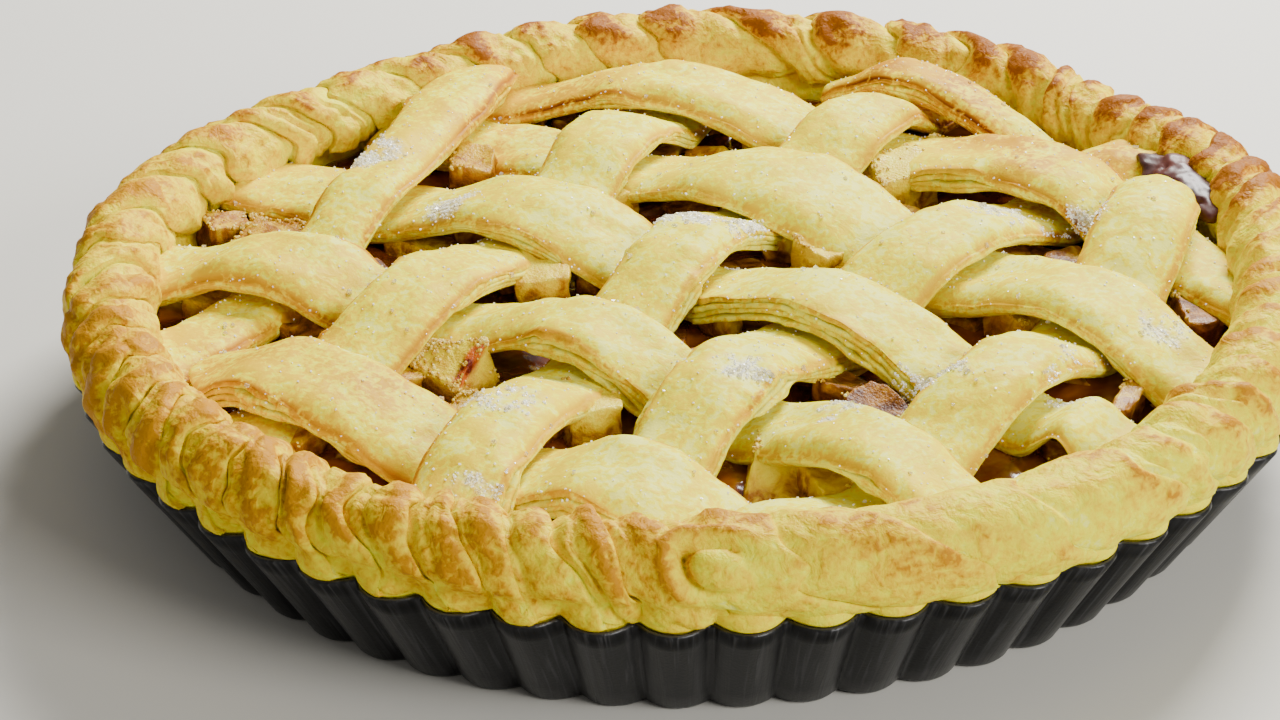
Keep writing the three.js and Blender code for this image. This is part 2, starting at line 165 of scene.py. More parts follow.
def wrap_sheet(name, columns, rows, shape):
    """Adds a grid, moves its points to shape(u, v), keeps the masks and welds what meets."""
    grid = {"x_subdivisions": columns, "y_subdivisions": rows, "size": 1}
    piece = add_piece(name, bpy.ops.mesh.primitive_grid_add, **grid)
    mesh = piece.data
    u, v = read_vectors(mesh.vertices).T[:2] + 0.5
    places, masks = shape(u, v)
    mesh.vertices.foreach_set("co", ((places + PIE_MIDDLE) * MM).ravel())
    keep_masks(mesh, {mask: np.clip(values, 0, 1) for mask, values in masks.items()})
    bpy.ops.object.mode_set(mode="EDIT")
    bpy.ops.mesh.select_all(action="SELECT")
    bpy.ops.mesh.remove_doubles(threshold=WELD)
    bpy.ops.mesh.normals_make_consistent(inside=False)
    bpy.ops.object.mode_set(mode="OBJECT")
    bpy.ops.object.shade_smooth()
    return piece


print("points that lie within", round(WELD / MM, 3), "mm of each other are welded")


# %% Bind a finished piece to the pie
def settle(piece, slot, *nodes):
    """Binds a finished piece to the pie's one body, hides the plain solids that it stands for and
    prints its faces.
    """
    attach(piece, "root")
    if nodes:
        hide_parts(*nodes)
    print(f"{piece.name}: {len(piece.data.polygons)} faces")
    return piece


# %% [markdown]
# ## Helpers for materials
#
# A material in Blender is a small network of nodes. These helpers add a node, link it and give
# the common sums short names, so that each finish below reads like a recipe. Colours are written
# from 0 to 255 as on a screen and turned into the linear values that the renderer expects.

# %% Colours
def paint(red, green, blue):
    """A screen colour as linear red, green, blue and full alpha."""
    linear = []
    for part in (red, green, blue):
        share = part / 255
        linear.append(share / 12.92 if share <= 0.04045 else ((share + 0.055) / 1.055) ** 2.4)
    return (*linear, 1.0)


print("a mid grey on the screen is", round(paint(128, 128, 128)[0], 3), "in linear light")


# %% Nodes and sums
def add_node(tree, kind, values=None, **settings):
    node = tree.nodes.new(kind)
    for name, value in settings.items():
        setattr(node, name, value)
    for socket, value in (values or {}).items():
        feed(tree, value, node.inputs[socket])
    return node


def feed(tree, value, socket):
    """Links a value that varies, or sets a plain one."""
    if isinstance(value, bpy.types.NodeSocket):
        tree.links.new(value, socket)
    else:
        socket.default_value = value


def sum_node(tree, operation, first, second, clamp=False):
    values = {0: first, 1: second}
    return add_node(tree, "ShaderNodeMath", values, operation=operation, use_clamp=clamp).outputs[0]


def sums_in(tree):
    """Short names for products and sums in one network."""

    def times(first, second):
        return sum_node(tree, "MULTIPLY", first, second)

    def plus(first, second, clamp=False):
        return sum_node(tree, "ADD", first, second, clamp)

    return times, plus


# %% Colours, noise, masks and bumps in a network
def blend_colours(tree, share, first, second):
    node = add_node(tree, "ShaderNodeMix", {0: share, 6: first, 7: second}, data_type="RGBA")
    return node.outputs[2]


def colour_ramp(tree, value, stops):
    node = add_node(tree, "ShaderNodeValToRGB", {"Fac": value})
    elements = node.color_ramp.elements
    while len(elements) < len(stops):
        elements.new(0.5)
    for element, (position, colour) in zip(elements, stops):
        element.position = position
        element.color = colour
    return node.outputs["Color"]


def noise_on(tree, coordinates, size_mm, detail=3.0, distortion=0.0):
    """Noise whose bumps are about "size_mm" wide."""
    values = {
        "Vector": coordinates,
        "Scale": 1 / (size_mm * MM),
        "Detail": detail,
        "Distortion": distortion,
    }
    return add_node(tree, "ShaderNodeTexNoise", values).outputs["Fac"]


def mask_on(tree, name):
    return add_node(tree, "ShaderNodeAttribute", attribute_name=name).outputs["Fac"]


def place_on(tree):
    """The place of a point of the piece, in metres from the frame's origin."""
    return add_node(tree, "ShaderNodeTexCoord").outputs["Object"]


def new_material(name, numbers):
    """A material whose shader has plain values set on its own sockets."""
    material = bpy.data.materials.new(name)
    material.use_nodes = True
    tree = material.node_tree
    shader = tree.nodes["Principled BSDF"]
    for socket, number in numbers.items():
        shader.inputs[socket].default_value = number
    return material, tree, shader


def bump_with(tree, height, strength, distance_mm):
    values = {"Height": height, "Strength": strength, "Distance": distance_mm * MM}
    return add_node(tree, "ShaderNodeBump", values).outputs["Normal"]


# %% [markdown]
# ## Floor and light
#
# The pie stands on a plain pale floor. One large soft light hangs behind it and to the right, as
# a window would, so that the strips' tops are bright and the sides turned to us stay in warm
# shade. A weak fill from the front keeps those sides readable.

# %% Floor, lights and sky
FLOOR_SIZE = 3.0
FLOOR_LOOK = {"Base Color": paint(214, 212, 205), "Roughness": 0.7}
DAYLIGHT = (1.0, 0.985, 0.94)
LIGHT_AIM = (0, 0, 0.03)
SOFTBOXES = {  # place, size and watts
    "window": ((0.35, 0.75, 0.75), (0.5, 0.4), 33),
    "fill": ((0.85, -0.8, 0.7), (0.6, 0.4), 15),
}
SKY = {"Color": (1.0, 0.98, 0.94, 1.0), "Strength": 0.3}


def make_floor():
    floor = add_piece("floor", bpy.ops.mesh.primitive_plane_add, size=FLOOR_SIZE)
    floor.data.materials.append(new_material("pale_floor", FLOOR_LOOK)[0])


def add_softbox(name, place, size, watts):
    light = add_piece(name, bpy.ops.object.light_add, type="AREA", location=place)
    aim = Vector(LIGHT_AIM) - Vector(place)
    light.rotation_euler = aim.to_track_quat("-Z", "Y").to_euler()
    light.data.shape = "RECTANGLE"
    light.data.size, light.data.size_y = size
    light.data.energy = watts
    light.data.color = DAYLIGHT


def set_sky():
    world = bpy.data.worlds.new("sky")
    bpy.context.scene.world = world
    world.use_nodes = True
    for socket, value in SKY.items():
        world.node_tree.nodes["Background"].inputs[socket].default_value = value


make_floor()
for softbox, (place, size, watts) in SOFTBOXES.items():
    add_softbox(softbox, place, size, watts)
set_sky()
print("floor and lights are up")

# %% [markdown]
# ## The tin
#
# A fluted tart tin is pressed from one sheet of steel: a flat base and a wall of rounded flutes
# that bulge outwards and meet in narrow creases. It could be a spun profile, but a spin is
# round, so the profile is laid out round the pie with a radius that swells inside every flute.
# The same formula makes the dough that is pressed against it, so it gets its own function.

# %% Flutes
FLUTE_COUNT = 60
COLUMNS_PER_FLUTE = 16
TIN_HEIGHT = 28.2
TIN_BASE_RADIUS = 121.0
TIN_TOP_RADIUS = 135.6
TIN_SHEET = 0.8
FLUTE_DEPTH_TOP = 4.4
FLUTE_DEPTH_BASE = 2.8
CREASE_SOFTNESS = 0.2


def flute_swell(turn):
    """How far the wall stands out, 0 in a crease and 1 on a flute's middle."""
    arch = np.sin(np.pi * ((turn * FLUTE_COUNT) % 1.0))
    rounded = np.hypot(arch, CREASE_SOFTNESS) - CREASE_SOFTNESS
    return (rounded / (np.hypot(1, CREASE_SOFTNESS) - CREASE_SOFTNESS)) ** 0.68


def follow_profile(profile, v):
    """Reads each column of a profile at v, with the profile's points spread evenly."""
    spread = np.linspace(0, 1, len(profile))
    return [np.interp(v, spread, column) for column in np.array(profile, dtype=float).T]


def ring_place(turn, radius, z):
    angle = turn * 2 * np.pi
    return np.stack([radius * np.cos(angle), radius * np.sin(angle), z], axis=1)


flute_width = 2 * math.pi * TIN_TOP_RADIUS / FLUTE_COUNT
print("a flute is", round(flute_width, 1), "mm wide at the tin's edge")


# %% The tin's sheet, from the middle of its underside to the middle of its floor
def tin_profile():
    """Points of radius, flute depth, height and strength of the painted rim highlight."""
    base, top, sheet = TIN_BASE_RADIUS, TIN_TOP_RADIUS, TIN_SHEET
    lean = top - base
    deeper = FLUTE_DEPTH_TOP - FLUTE_DEPTH_BASE
    wall = np.linspace(0, 1, 7)
    outer = [
        (base + 0.4 + lean * up, FLUTE_DEPTH_BASE + deeper * up, 1.2 + 26.4 * up, 0) for up in wall
    ]
    inner = [
        (top - sheet - lean * down, FLUTE_DEPTH_TOP - deeper * down, 27.6 - 26 * down, 0)
        for down in wall
    ]
    return [
        (0, 0, 0, 0),
        (base * 0.7, 0, 0, 0),
        (base - 4, 1, 0, 0),
        (base - 1.6, FLUTE_DEPTH_BASE, 0, 0),
        (base - 0.5, FLUTE_DEPTH_BASE, 0.3, 0),
        *outer,
        (top + 0.05, FLUTE_DEPTH_TOP, TIN_HEIGHT - 0.25, 0.2),
        (top - 0.2, FLUTE_DEPTH_TOP, TIN_HEIGHT, 1),
        (top - 0.55, FLUTE_DEPTH_TOP, TIN_HEIGHT, 1),
        *inner,
        (base - 3, 1, sheet, 0),
        (base * 0.7, 0, sheet, 0),
        (0, 0, sheet, 0),
    ]


def tin_shape(u, v):
    radius, depth, z, rim = follow_profile(tin_profile(), v)
    reach = radius + depth * flute_swell(u)
    return ring_place(u, reach, z), {"rim": rim}


TIN_COLUMNS = FLUTE_COUNT * COLUMNS_PER_FLUTE
tin = wrap_sheet("fluted_tin", TIN_COLUMNS, len(tin_profile()) - 1, tin_shape)
print("points in the tin's profile:", len(tin_profile()))

# %% [markdown]
# The coating is a dark grey non-stick layer. It mirrors the light in long upright streaks,
# because the sheet was drawn upwards when it was pressed, and these reflections are painted into
# its colour as dark and light streaks: noise on the tin's own UV map, squeezed round the wall and
# stretched along its height. The rim is painted a lighter grey, a painted highlight along the edge.

# %% The tin's coating
STREAK_STRETCH = (900, 5, 1)
# Painted reflections: these greys stand in for the light that the coating mirrors in streaks.
PAINTED_REFLECTION_STOPS = [(0.3, paint(14, 14, 15)), (0.55, paint(31, 31, 33)), (0.75, paint(72, 72, 75))]
# Painted highlight: the lighter grey of the line along the tin's rim.
RIM_HIGHLIGHT_GREY = paint(96, 96, 99)


def coated_steel():
    material, tree, shader = new_material("coated_steel", {"Metallic": 0.75})
    times, plus = sums_in(tree)
    uv = add_node(tree, "ShaderNodeUVMap").outputs["UV"]
    stretched = add_node(tree, "ShaderNodeMapping", {"Vector": uv, "Scale": STREAK_STRETCH})
    values = {"Vector": stretched.outputs["Vector"], "Scale": 1.0, "Detail": 3, "Distortion": 0.6}
    streaks = add_node(tree, "ShaderNodeTexNoise", values).outputs["Fac"]
    speckle = noise_on(tree, place_on(tree), 0.7, 4)
    coat = colour_ramp(tree, streaks, PAINTED_REFLECTION_STOPS)
    colour = blend_colours(tree, mask_on(tree, "rim"), coat, RIM_HIGHLIGHT_GREY)
    feed(tree, colour, shader.inputs["Base Color"])
    feed(tree, plus(times(streaks, 0.3), 0.2), shader.inputs["Roughness"])
    height = plus(streaks, times(speckle, 0.25))
    feed(tree, bump_with(tree, height, 0.35, 0.35), shader.inputs["Normal"])
    return material


tin.data.materials.append(coated_steel())
settle(tin, "tin", "tin")

# %% [markdown]
# ## Baked dough
#
# All the pastry shares one look: pale cream where it stayed cool, yellow where the butter
# browned, and orange to brown on ridges and edges. A node group holds that look once. It takes
# how strongly a place is baked, whether it is a flaky side, how much painted shade lies in the
# crevices between layers, how much sugar melted on it, how mottled the dough is and the most that
# it may brown. It gives back a colour, a roughness and a height for fine bumps. Each material feeds
# it with its own masks.

# %% Colours of dough, from raw to burnt
DOUGH_STOPS = [
    (0.0, paint(248, 247, 112)),
    (0.12, paint(247, 242, 36)),
    (0.24, paint(247, 233, 4)),
    (0.36, paint(246, 219, 0)),
    (0.48, paint(240, 203, 0)),
    (0.62, paint(224, 172, 0)),
    (0.76, paint(188, 122, 0)),
    (0.88, paint(140, 74, 0)),
    (1.0, paint(86, 36, 0)),
]
SIDE_STOPS = [
    (0.1, paint(248, 243, 96)),
    (0.28, paint(247, 231, 8)),
    (0.44, paint(242, 208, 0)),
    (0.7, paint(214, 156, 0)),
    (1.0, paint(146, 80, 0)),
]


# Painted shade: the dark brown put into the crevices between a side's layers and under the strips.
CREVICE_SHADE = paint(104, 54, 2)
MELTED_SUGAR = paint(253, 249, 228)
SUGAR_LUMP = 0.7
print("steps from raw to burnt:", len(DOUGH_STOPS))


# %% The shared dough group
def make_dough_group():
    """Takes Brown, Side, the painted crevice shade, Frost, Mottle and Hottest, the most that a
    place may brown.
    """
    tree = bpy.data.node_groups.new("baked_dough", "ShaderNodeTree")
    for name in ("Brown", "Side", "Gap", "Frost", "Mottle", "Hottest"):
        tree.interface.new_socket(name, in_out="INPUT", socket_type="NodeSocketFloat")
    for name, kind in (("Color", "Color"), ("Roughness", "Float"), ("Height", "Float")):
        tree.interface.new_socket(name, in_out="OUTPUT", socket_type=f"NodeSocket{kind}")
    taken = add_node(tree, "NodeGroupInput").outputs
    given = add_node(tree, "NodeGroupOutput").inputs
    times, plus = sums_in(tree)
    place = place_on(tree)
    clouds = noise_on(tree, place, 10, 3, 1.2)
    spots = noise_on(tree, place, 4.5, 5, 1.0)
    specks = noise_on(tree, place, 1.4, 5, 0.5)
    grain = noise_on(tree, place, 0.6, 3)
    uneven = plus(times(clouds, 1.4), plus(times(spots, 1.4), times(specks, 2.0)))
    shake = times(sum_node(tree, "SUBTRACT", uneven, 2.4), taken["Mottle"])
    heat = sum_node(tree, "MINIMUM", plus(taken["Brown"], shake, clamp=True), taken["Hottest"])
    top = colour_ramp(tree, heat, DOUGH_STOPS)
    layer = plus(heat, times(sum_node(tree, "SUBTRACT", specks, 0.5), 0.5), clamp=True)
    side = colour_ramp(tree, layer, SIDE_STOPS)
    # Painted shade darkens the crevices between the layers.
    side = blend_colours(tree, taken["Gap"], side, CREVICE_SHADE)
    baked = blend_colours(tree, taken["Side"], top, side)
    lumps = {"Vector": place, "Scale": 1 / (SUGAR_LUMP * MM)}
    sugar = add_node(tree, "ShaderNodeTexVoronoi", lumps).outputs["Distance"]
    white = times(taken["Frost"], 0.7)
    feed(tree, blend_colours(tree, white, baked, MELTED_SUGAR), given["Color"])
    rough = plus(times(grain, 0.3), 0.36)
    feed(tree, sum_node(tree, "SUBTRACT", rough, times(taken["Frost"], 0.25)), given["Roughness"])
    height = plus(times(spots, 1.0), plus(times(specks, 0.4), times(grain, 0.12)))
    icing = times(times(sugar, taken["Frost"]), -1.2)
    feed(tree, plus(height, icing), given["Height"])
    return tree


dough_group = make_dough_group()
print("dough group has", len(dough_group.nodes), "nodes")

# %% A material that uses the group
SOFT_DOUGH = {
    "Specular IOR Level": 0.1,
    "Subsurface Weight": 0.04,
    "Subsurface Radius": (1.0, 0.85, 0.3),
    "Subsurface Scale": 1.5 * MM,
}


def dough(name, masks, numbers, bump_mm):
    """A baked dough material that reads the piece's own masks."""
    material, tree, shader = new_material(name, SOFT_DOUGH)
    look = add_node(tree, "ShaderNodeGroup", node_tree=dough_group)
    for mask in masks:
        feed(tree, mask_on(tree, mask), look.inputs[mask.capitalize()])
    for socket, number in numbers.items():
        look.inputs[socket].default_value = number
    feed(tree, look.outputs["Color"], shader.inputs["Base Color"])
    feed(tree, look.outputs["Roughness"], shader.inputs["Roughness"])
    feed(tree, bump_with(tree, look.outputs["Height"], 1.0, bump_mm), shader.inputs["Normal"])
    return material


light_reach = round(SOFT_DOUGH["Subsurface Scale"] / MM, 1)
print("light passes about", light_reach, "mm under the dough's skin")

# %% [markdown]
# ## The twisted rope
#
# The rim is a strip of dough twisted like a rope and laid round the edge. Every wrap is a ridge
# that runs slanting over the rope, with a sharp crease on either side. A grid laid out as a
# twisted torus gives exactly that: at each place round the pie the section turns a little
# further. The twist is tight at the front left and at the right, and loose at the back and at
# the front right, where the wraps are long.

# %% The rope's path and twist
ROPE_RADIUS = 131.6
ROPE_CENTRE_Z = 37.0
ROPE_THICKNESS = 9.9
ROPE_LOBE = 1.1
ROPE_WAVE = 0.7
ROPE_SAGS = (  # angle and half length in radians, inward, down
    (2.25, 0.42, 4.5, 1.6),
    (0.6, 0.16, 3.5, 1.8),
    (1.15, 0.3, -1.2, -0.3),
)


def arc_between(angle, other):
    return np.arctan2(np.sin(angle - other), np.cos(angle - other))


def rope_centre(angle):
    """Radius and height of the rope's centre line, which sagged in places while baking."""
    radius = ROPE_RADIUS + ROPE_WAVE * np.sin(5 * angle)
    z = ROPE_CENTRE_Z + (ROPE_WAVE / 2) * np.sin(3 * angle + 1)
    for place, spread, inward, down in ROPE_SAGS:
        share = bell(arc_between(angle, place), spread)
        radius = radius - inward * share
        z = z - down * share
    return radius, z


rope_heights = rope_centre(np.linspace(0, 2 * np.pi, 360))[1]
print("the rope's middle lies", np.round([rope_heights.min(), rope_heights.max()], 1), "mm high")


# %% How tightly the rope is twisted: degrees round the pie, and degrees from wrap to wrap
WRAP_SPACING = (
    (0, 5.6), (12, 5.1), (42, 5.1), (55, 7.5), (62, 9), (80, 10), (100, 8), (125, 8.5),
    (145, 7.2), (166, 7.5), (182, 7), (200, 6.4), (214, 5.4), (225, 4.7), (250, 4.3),
    (264, 4.8), (274, 9.5), (286, 11), (303, 10.5), (311, 6), (326, 4.8), (337, 6), (360, 5.6),
)


def count_wraps():
    """Angles in degrees and how many wraps lie before each, a whole number in all."""
    degrees = np.linspace(0, 360, 1441)
    tightness = 1 / np.interp(degrees, *zip(*WRAP_SPACING))
    passed = np.concatenate([[0], np.cumsum((tightness[1:] + tightness[:-1]) / 2)])
    passed *= degrees[1] - degrees[0]
    return degrees, passed * round(passed[-1]) / passed[-1]


WRAP_DEGREES, WRAPS_BEFORE = count_wraps()
WRAPS = round(WRAPS_BEFORE[-1])
print("wraps round the rim:", WRAPS)

# %% Where the rope's dough runs down into the flutes of the tin
SKIRTED = (
    (0, 0.6), (140, 0.8), (180, 1.0), (264, 1.0), (273, 0.1), (338, 0.1), (350, 0.6),
    (360, 0.6),
)


def read_round(table, angle):
    """Reads a table of degrees and values at an angle in radians."""
    return np.interp(np.degrees(angle) % 360, *zip(*table))


print("the rope hides the tin's edge fully at", [turn for turn, share in SKIRTED if share == 1])


# %% [markdown]
# ## The pastry case
#
# The case lines the tin. Its dough swelled out over the edge of every flute and stayed pale
# there, tucked under the rope. Its body is the same kind of profile as the tin's, with a bulge
# whose size differs from flute to flute.

# %% Pastry case
CRUST_WELL_RADIUS = 118.0
CRUST_SHOULDER_RADIUS = 127.0
CRUST_TOP = 30.0


def case_profile():
    """Points of radius, flute depth, height, and share of the bulge."""
    wall = TIN_SHEET + 0.6
    lip = TIN_TOP_RADIUS - wall
    return [
        (0, 0, 1.1, 0),
        (TIN_BASE_RADIUS - 6, 1, 1.1, 0),
        (TIN_BASE_RADIUS - wall, FLUTE_DEPTH_BASE, 1.6, 0),
        (lip - 7.3, 3.6, 14.5, 0),
        (lip, FLUTE_DEPTH_TOP, TIN_HEIGHT - 0.2, 0),
        (lip + 0.5, FLUTE_DEPTH_TOP, TIN_HEIGHT + 0.35, 0.1),
        (lip + 1.3, FLUTE_DEPTH_TOP, TIN_HEIGHT + 0.6, 0.5),
        (lip + 1.9, FLUTE_DEPTH_TOP, TIN_HEIGHT + 1.2, 0.9),
        (lip + 2.0, FLUTE_DEPTH_TOP, TIN_HEIGHT + 2.0, 1),
        (lip + 1.9, 4.1, TIN_HEIGHT + 2.9, 1),
        (lip + 1.3, 3.4, TIN_HEIGHT + 4.0, 0.8),
        (lip + 0.2, 2.3, TIN_HEIGHT + 4.9, 0.5),
        (lip - 2, 1, TIN_HEIGHT + 5.2, 0.2),
        (lip - 5, 0, TIN_HEIGHT + 4.5, 0),
        (CRUST_SHOULDER_RADIUS, 0, CRUST_TOP, 0),
        (CRUST_SHOULDER_RADIUS - 2.5, 0, CRUST_TOP - 6, 0),
        (CRUST_WELL_RADIUS + 1, 0, 8, 0),
        (CRUST_WELL_RADIUS - 4, 0, 6.2, 0),
        (0, 0, 6.1, 0),
    ]


def case_shape(u, v):
    radius, depth, z, bulge = follow_profile(case_profile(), v)
    around = ring_place(u, radius, z).T
    own = rumple(u * FLUTE_COUNT + 0.5, 0.5, seed=3, period=FLUTE_COUNT)
    lumps = rumple(*(around / 6), seed=4) + 0.5 * rumple(*(around / 2.5), seed=5)
    tucked = 1 - 0.5 * read_round(SKIRTED, u * 2 * np.pi)
    reach = radius + depth * flute_swell(u) + bulge * tucked * (0.5 * own + 0.4 * lumps)
    reach = reach - 1.3 * bulge * (1 - tucked)
    z = z + bulge * (0.35 * rumple(*(around / 8), seed=6) - 0.3 * flute_swell(u))
    brown = 0.3 + 0.16 * bulge * ramp(30, 33, z) + 0.1 * rumple(*(around / 20), seed=7)
    return ring_place(u, reach, z), {"brown": brown}


FRILL_COLUMNS = FLUTE_COUNT * 12
FRILL_ROWS = 3 * len(case_profile()) - 3
case = wrap_sheet("pastry_frill", FRILL_COLUMNS, FRILL_ROWS, case_shape)
case.data.materials.append(dough("case_dough", ("brown",), {"Mottle": 0.3, "Hottest": 1.0}, 0.8))
settle(case, "crust", "pastry_case")

# %% Where the oven browned the rope most: degrees round the pie, half width, strength
ROPE_BROWNED = (
    (203, 17, 0.22), (228, 14, 0.12), (248, 10, 0.08), (170, 11, 0.2), (148, 9, 0.12),
    (116, 12, 0.24), (96, 8, 0.3), (78, 10, 0.6), (52, 12, 0.5), (24, 13, 0.55), (7, 8, 0.75),
    (269, 4, 0.22), (287, 4, 0.14), (306, 5, 0.2), (318, 6, 0.14), (336, 6, 0.2),
    (347, 5, 0.14),
)
ROPE_GOLDEN = (  # degrees round the pie, and how brown its dough is between the toasted crests
    (0, 0.3), (20, 0.36), (75, 0.42), (110, 0.38), (150, 0.38), (185, 0.42), (225, 0.46),
    (262, 0.46), (285, 0.3), (310, 0.2), (335, 0.2), (360, 0.3),
)
CREASE_DEPTH = 3.0
ROPE_UNDERSIDE = CRUST_TOP + 0.3
SMOOTH_ROPE = 10.0  # radius of the plain rope on which the lumps are laid out
SKIRT_Z = 31.0  # height at which the skirt of dough bulges most
ROPE_SEAM = -1.9  # the section's seam, in radians from its outermost point: on the underside
LIP_LEAN = 1.7


def browned_by(angle):
    """How strongly the oven browned the rope at an angle."""
    degrees = np.degrees(angle)
    return sum(
        strength * bell((degrees - place + 180) % 360 - 180, width)
        for place, width, strength in ROPE_BROWNED
    )


rope_round = np.radians(np.arange(360))
print("the rope is brownest at", int(np.argmax(browned_by(rope_round))), "degrees")


# %% The curl in front, where the strip's end was tucked in
CURL_ANGLE = math.radians(270.6)
CURL_AROUND = math.radians(32)
CURL_LENGTH = 5.6
CURL_HEIGHT = 4.6


def rope_curl(angle, around):
    """Distance from the curl's middle as a share of its size, its relief and its browning."""
    aside = arc_between(angle, CURL_ANGLE) * (ROPE_RADIUS + 9) / CURL_LENGTH
    above = arc_between(around, CURL_AROUND) * (ROPE_THICKNESS + 0.6) / CURL_HEIGHT
    aside = aside + 0.22 * above
    away = (np.abs(aside) ** 2.4 + np.abs(above) ** 2.4) ** (1 / 2.4)
    upper_left = 0.5 + 0.5 * np.tanh(1.6 * (above - aside + 0.2))
    dome = 2.0 * np.clip(1 - away**2, 0, 1) ** 0.6
    groove = -(0.7 + 1.5 * upper_left) * bell(away - 1.14, 0.16)
    nick = -2.2 * bell(aside + 1.05, 0.2) * bell(above - 0.75, 0.35)
    ridge = 1.7 * upper_left * bell(away - 1.85, 0.34)
    toasted = upper_left * (bell(away - 1.9, 0.3) + 0.7 * bell(away - 1.02, 0.13))
    return away, dome + groove + nick + ridge, toasted


print("the curl is about", 2 * CURL_LENGTH, "mm long")


# %% [markdown]
# The grid of the rope follows the wraps, so its columns run slanting over the rope, and they lie
# close together along the creases. That keeps the folds crisp without a finer grid.

# %% The rope's wraps
COLUMNS_PER_WRAP = 23
ROWS_ROUND_ROPE = 76
COLUMN_CROWDING = 0.8
SEAM_FADE = 0.6  # within this many radians of the seam, all noise fades out
LOOSE_SPACING = (7.4, 9.6)  # degrees from wrap to wrap where the twist turns loose
LOOSE_ANGLE = math.radians(295)


def wrap_angle(wraps):
    """The angle round the pie at which so many wraps lie behind."""
    degrees = np.interp(wraps % WRAPS, WRAPS_BEFORE, WRAP_DEGREES)
    return np.radians(degrees + 360 * np.floor(wraps / WRAPS))


def split_wraps(u):
    """The wrap's number and the share of it that lies behind, crowded at the creases."""
    wrap = u * WRAPS
    number = np.floor(wrap + 1e-9)
    share = wrap - number
    crowded = share - COLUMN_CROWDING * np.sin(2 * np.pi * share) / (2 * np.pi)
    return number, np.clip(crowded, 0, 1)


def wrap_noise(wrap, around, finer, stretch, seed):
    """Noise along the wraps that closes round the pie."""
    return rumple(wrap * finer, around * stretch, seed=seed, period=finer * WRAPS)


print("columns round the rope:", WRAPS * COLUMNS_PER_WRAP)


# %% How the rope browned
def rope_brown(angle, around, crest, own, along, lumps, streaks, lip):
    """How brown the rope is: golden dough, and toasted crests on its upper side."""
    facing = ramp(-0.45, 0.85, 0.8 * np.sin(around) + 0.35 * np.cos(around))
    toast = 0.18 + 1.1 * browned_by(angle) + 0.14 * own + 0.12 * along
    toast = toast + 0.24 * lumps[1] + 0.14 * lumps[2] + 0.2 * lumps[0] + 0.16 * streaks
    golden = read_round(ROPE_GOLDEN, angle)
    baked = facing * (0.1 + 0.9 * crest**2) * toast * (0.7 + 0.8 * lip)
    return golden + baked * (1 - 0.6 * golden) - 0.2 * (1 - crest) ** 2


# %% How a wrap of the rope rises, folds and cracks
def wrap_crest(share, peak, loose):
    """One wrap rises slowly from under its neighbour and ends in a steep lip."""
    rise = np.sin(np.pi / 2 * np.clip(share / peak, 0, 1)) ** (0.85 - 0.5 * loose)
    fall = 1 - np.clip((share - peak) / (1 - peak), 0, 1) ** 2.4
    return rise * fall**0.7


def wrap_relief(share, loose, own, other, lumps, split, streaks):
    """Lumps, with folds and cracks that run along the wraps and come and go."""
    fold = bell(share - 0.36 - 0.16 * own, 0.07) * ramp(-0.5, 0.2, lumps[3] + other)
    crack = bell(split, 0.1) * ramp(-0.3, 0.4, lumps[2] + own)
    rough = 1 - 0.55 * loose
    relief = rough * (1.0 * lumps[2] + 0.65 * lumps[1] + 0.22 * lumps[0] + 0.34 * streaks)
    return relief - rough * (1.5 * fold + 0.9 * crack)


def follow_flutes(angle, around, radius, z, rough):
    """Low on the outside the dough follows the flutes and hides the tin's edge."""
    low = ramp(0.0, 0.7, -np.sin(around)) * ramp(0.1, 0.5, np.cos(around))
    low = low * read_round(SKIRTED, angle)
    plump = np.maximum(1.0 - ((z - SKIRT_Z) / 2.6) ** 2, -0.6)
    lobe = TIN_TOP_RADIUS + FLUTE_DEPTH_TOP * flute_swell(angle / (2 * np.pi)) + plump
    lobe = lobe + 0.3 * rough
    return radius + (lobe - radius) * low, np.maximum(z, ROPE_UNDERSIDE - 1.75 * low), low


half_risen = float(wrap_crest(0.35, 0.7, 0.0))
print("half way to its peak a wrap has risen to", round(half_risen, 2), "of its height")


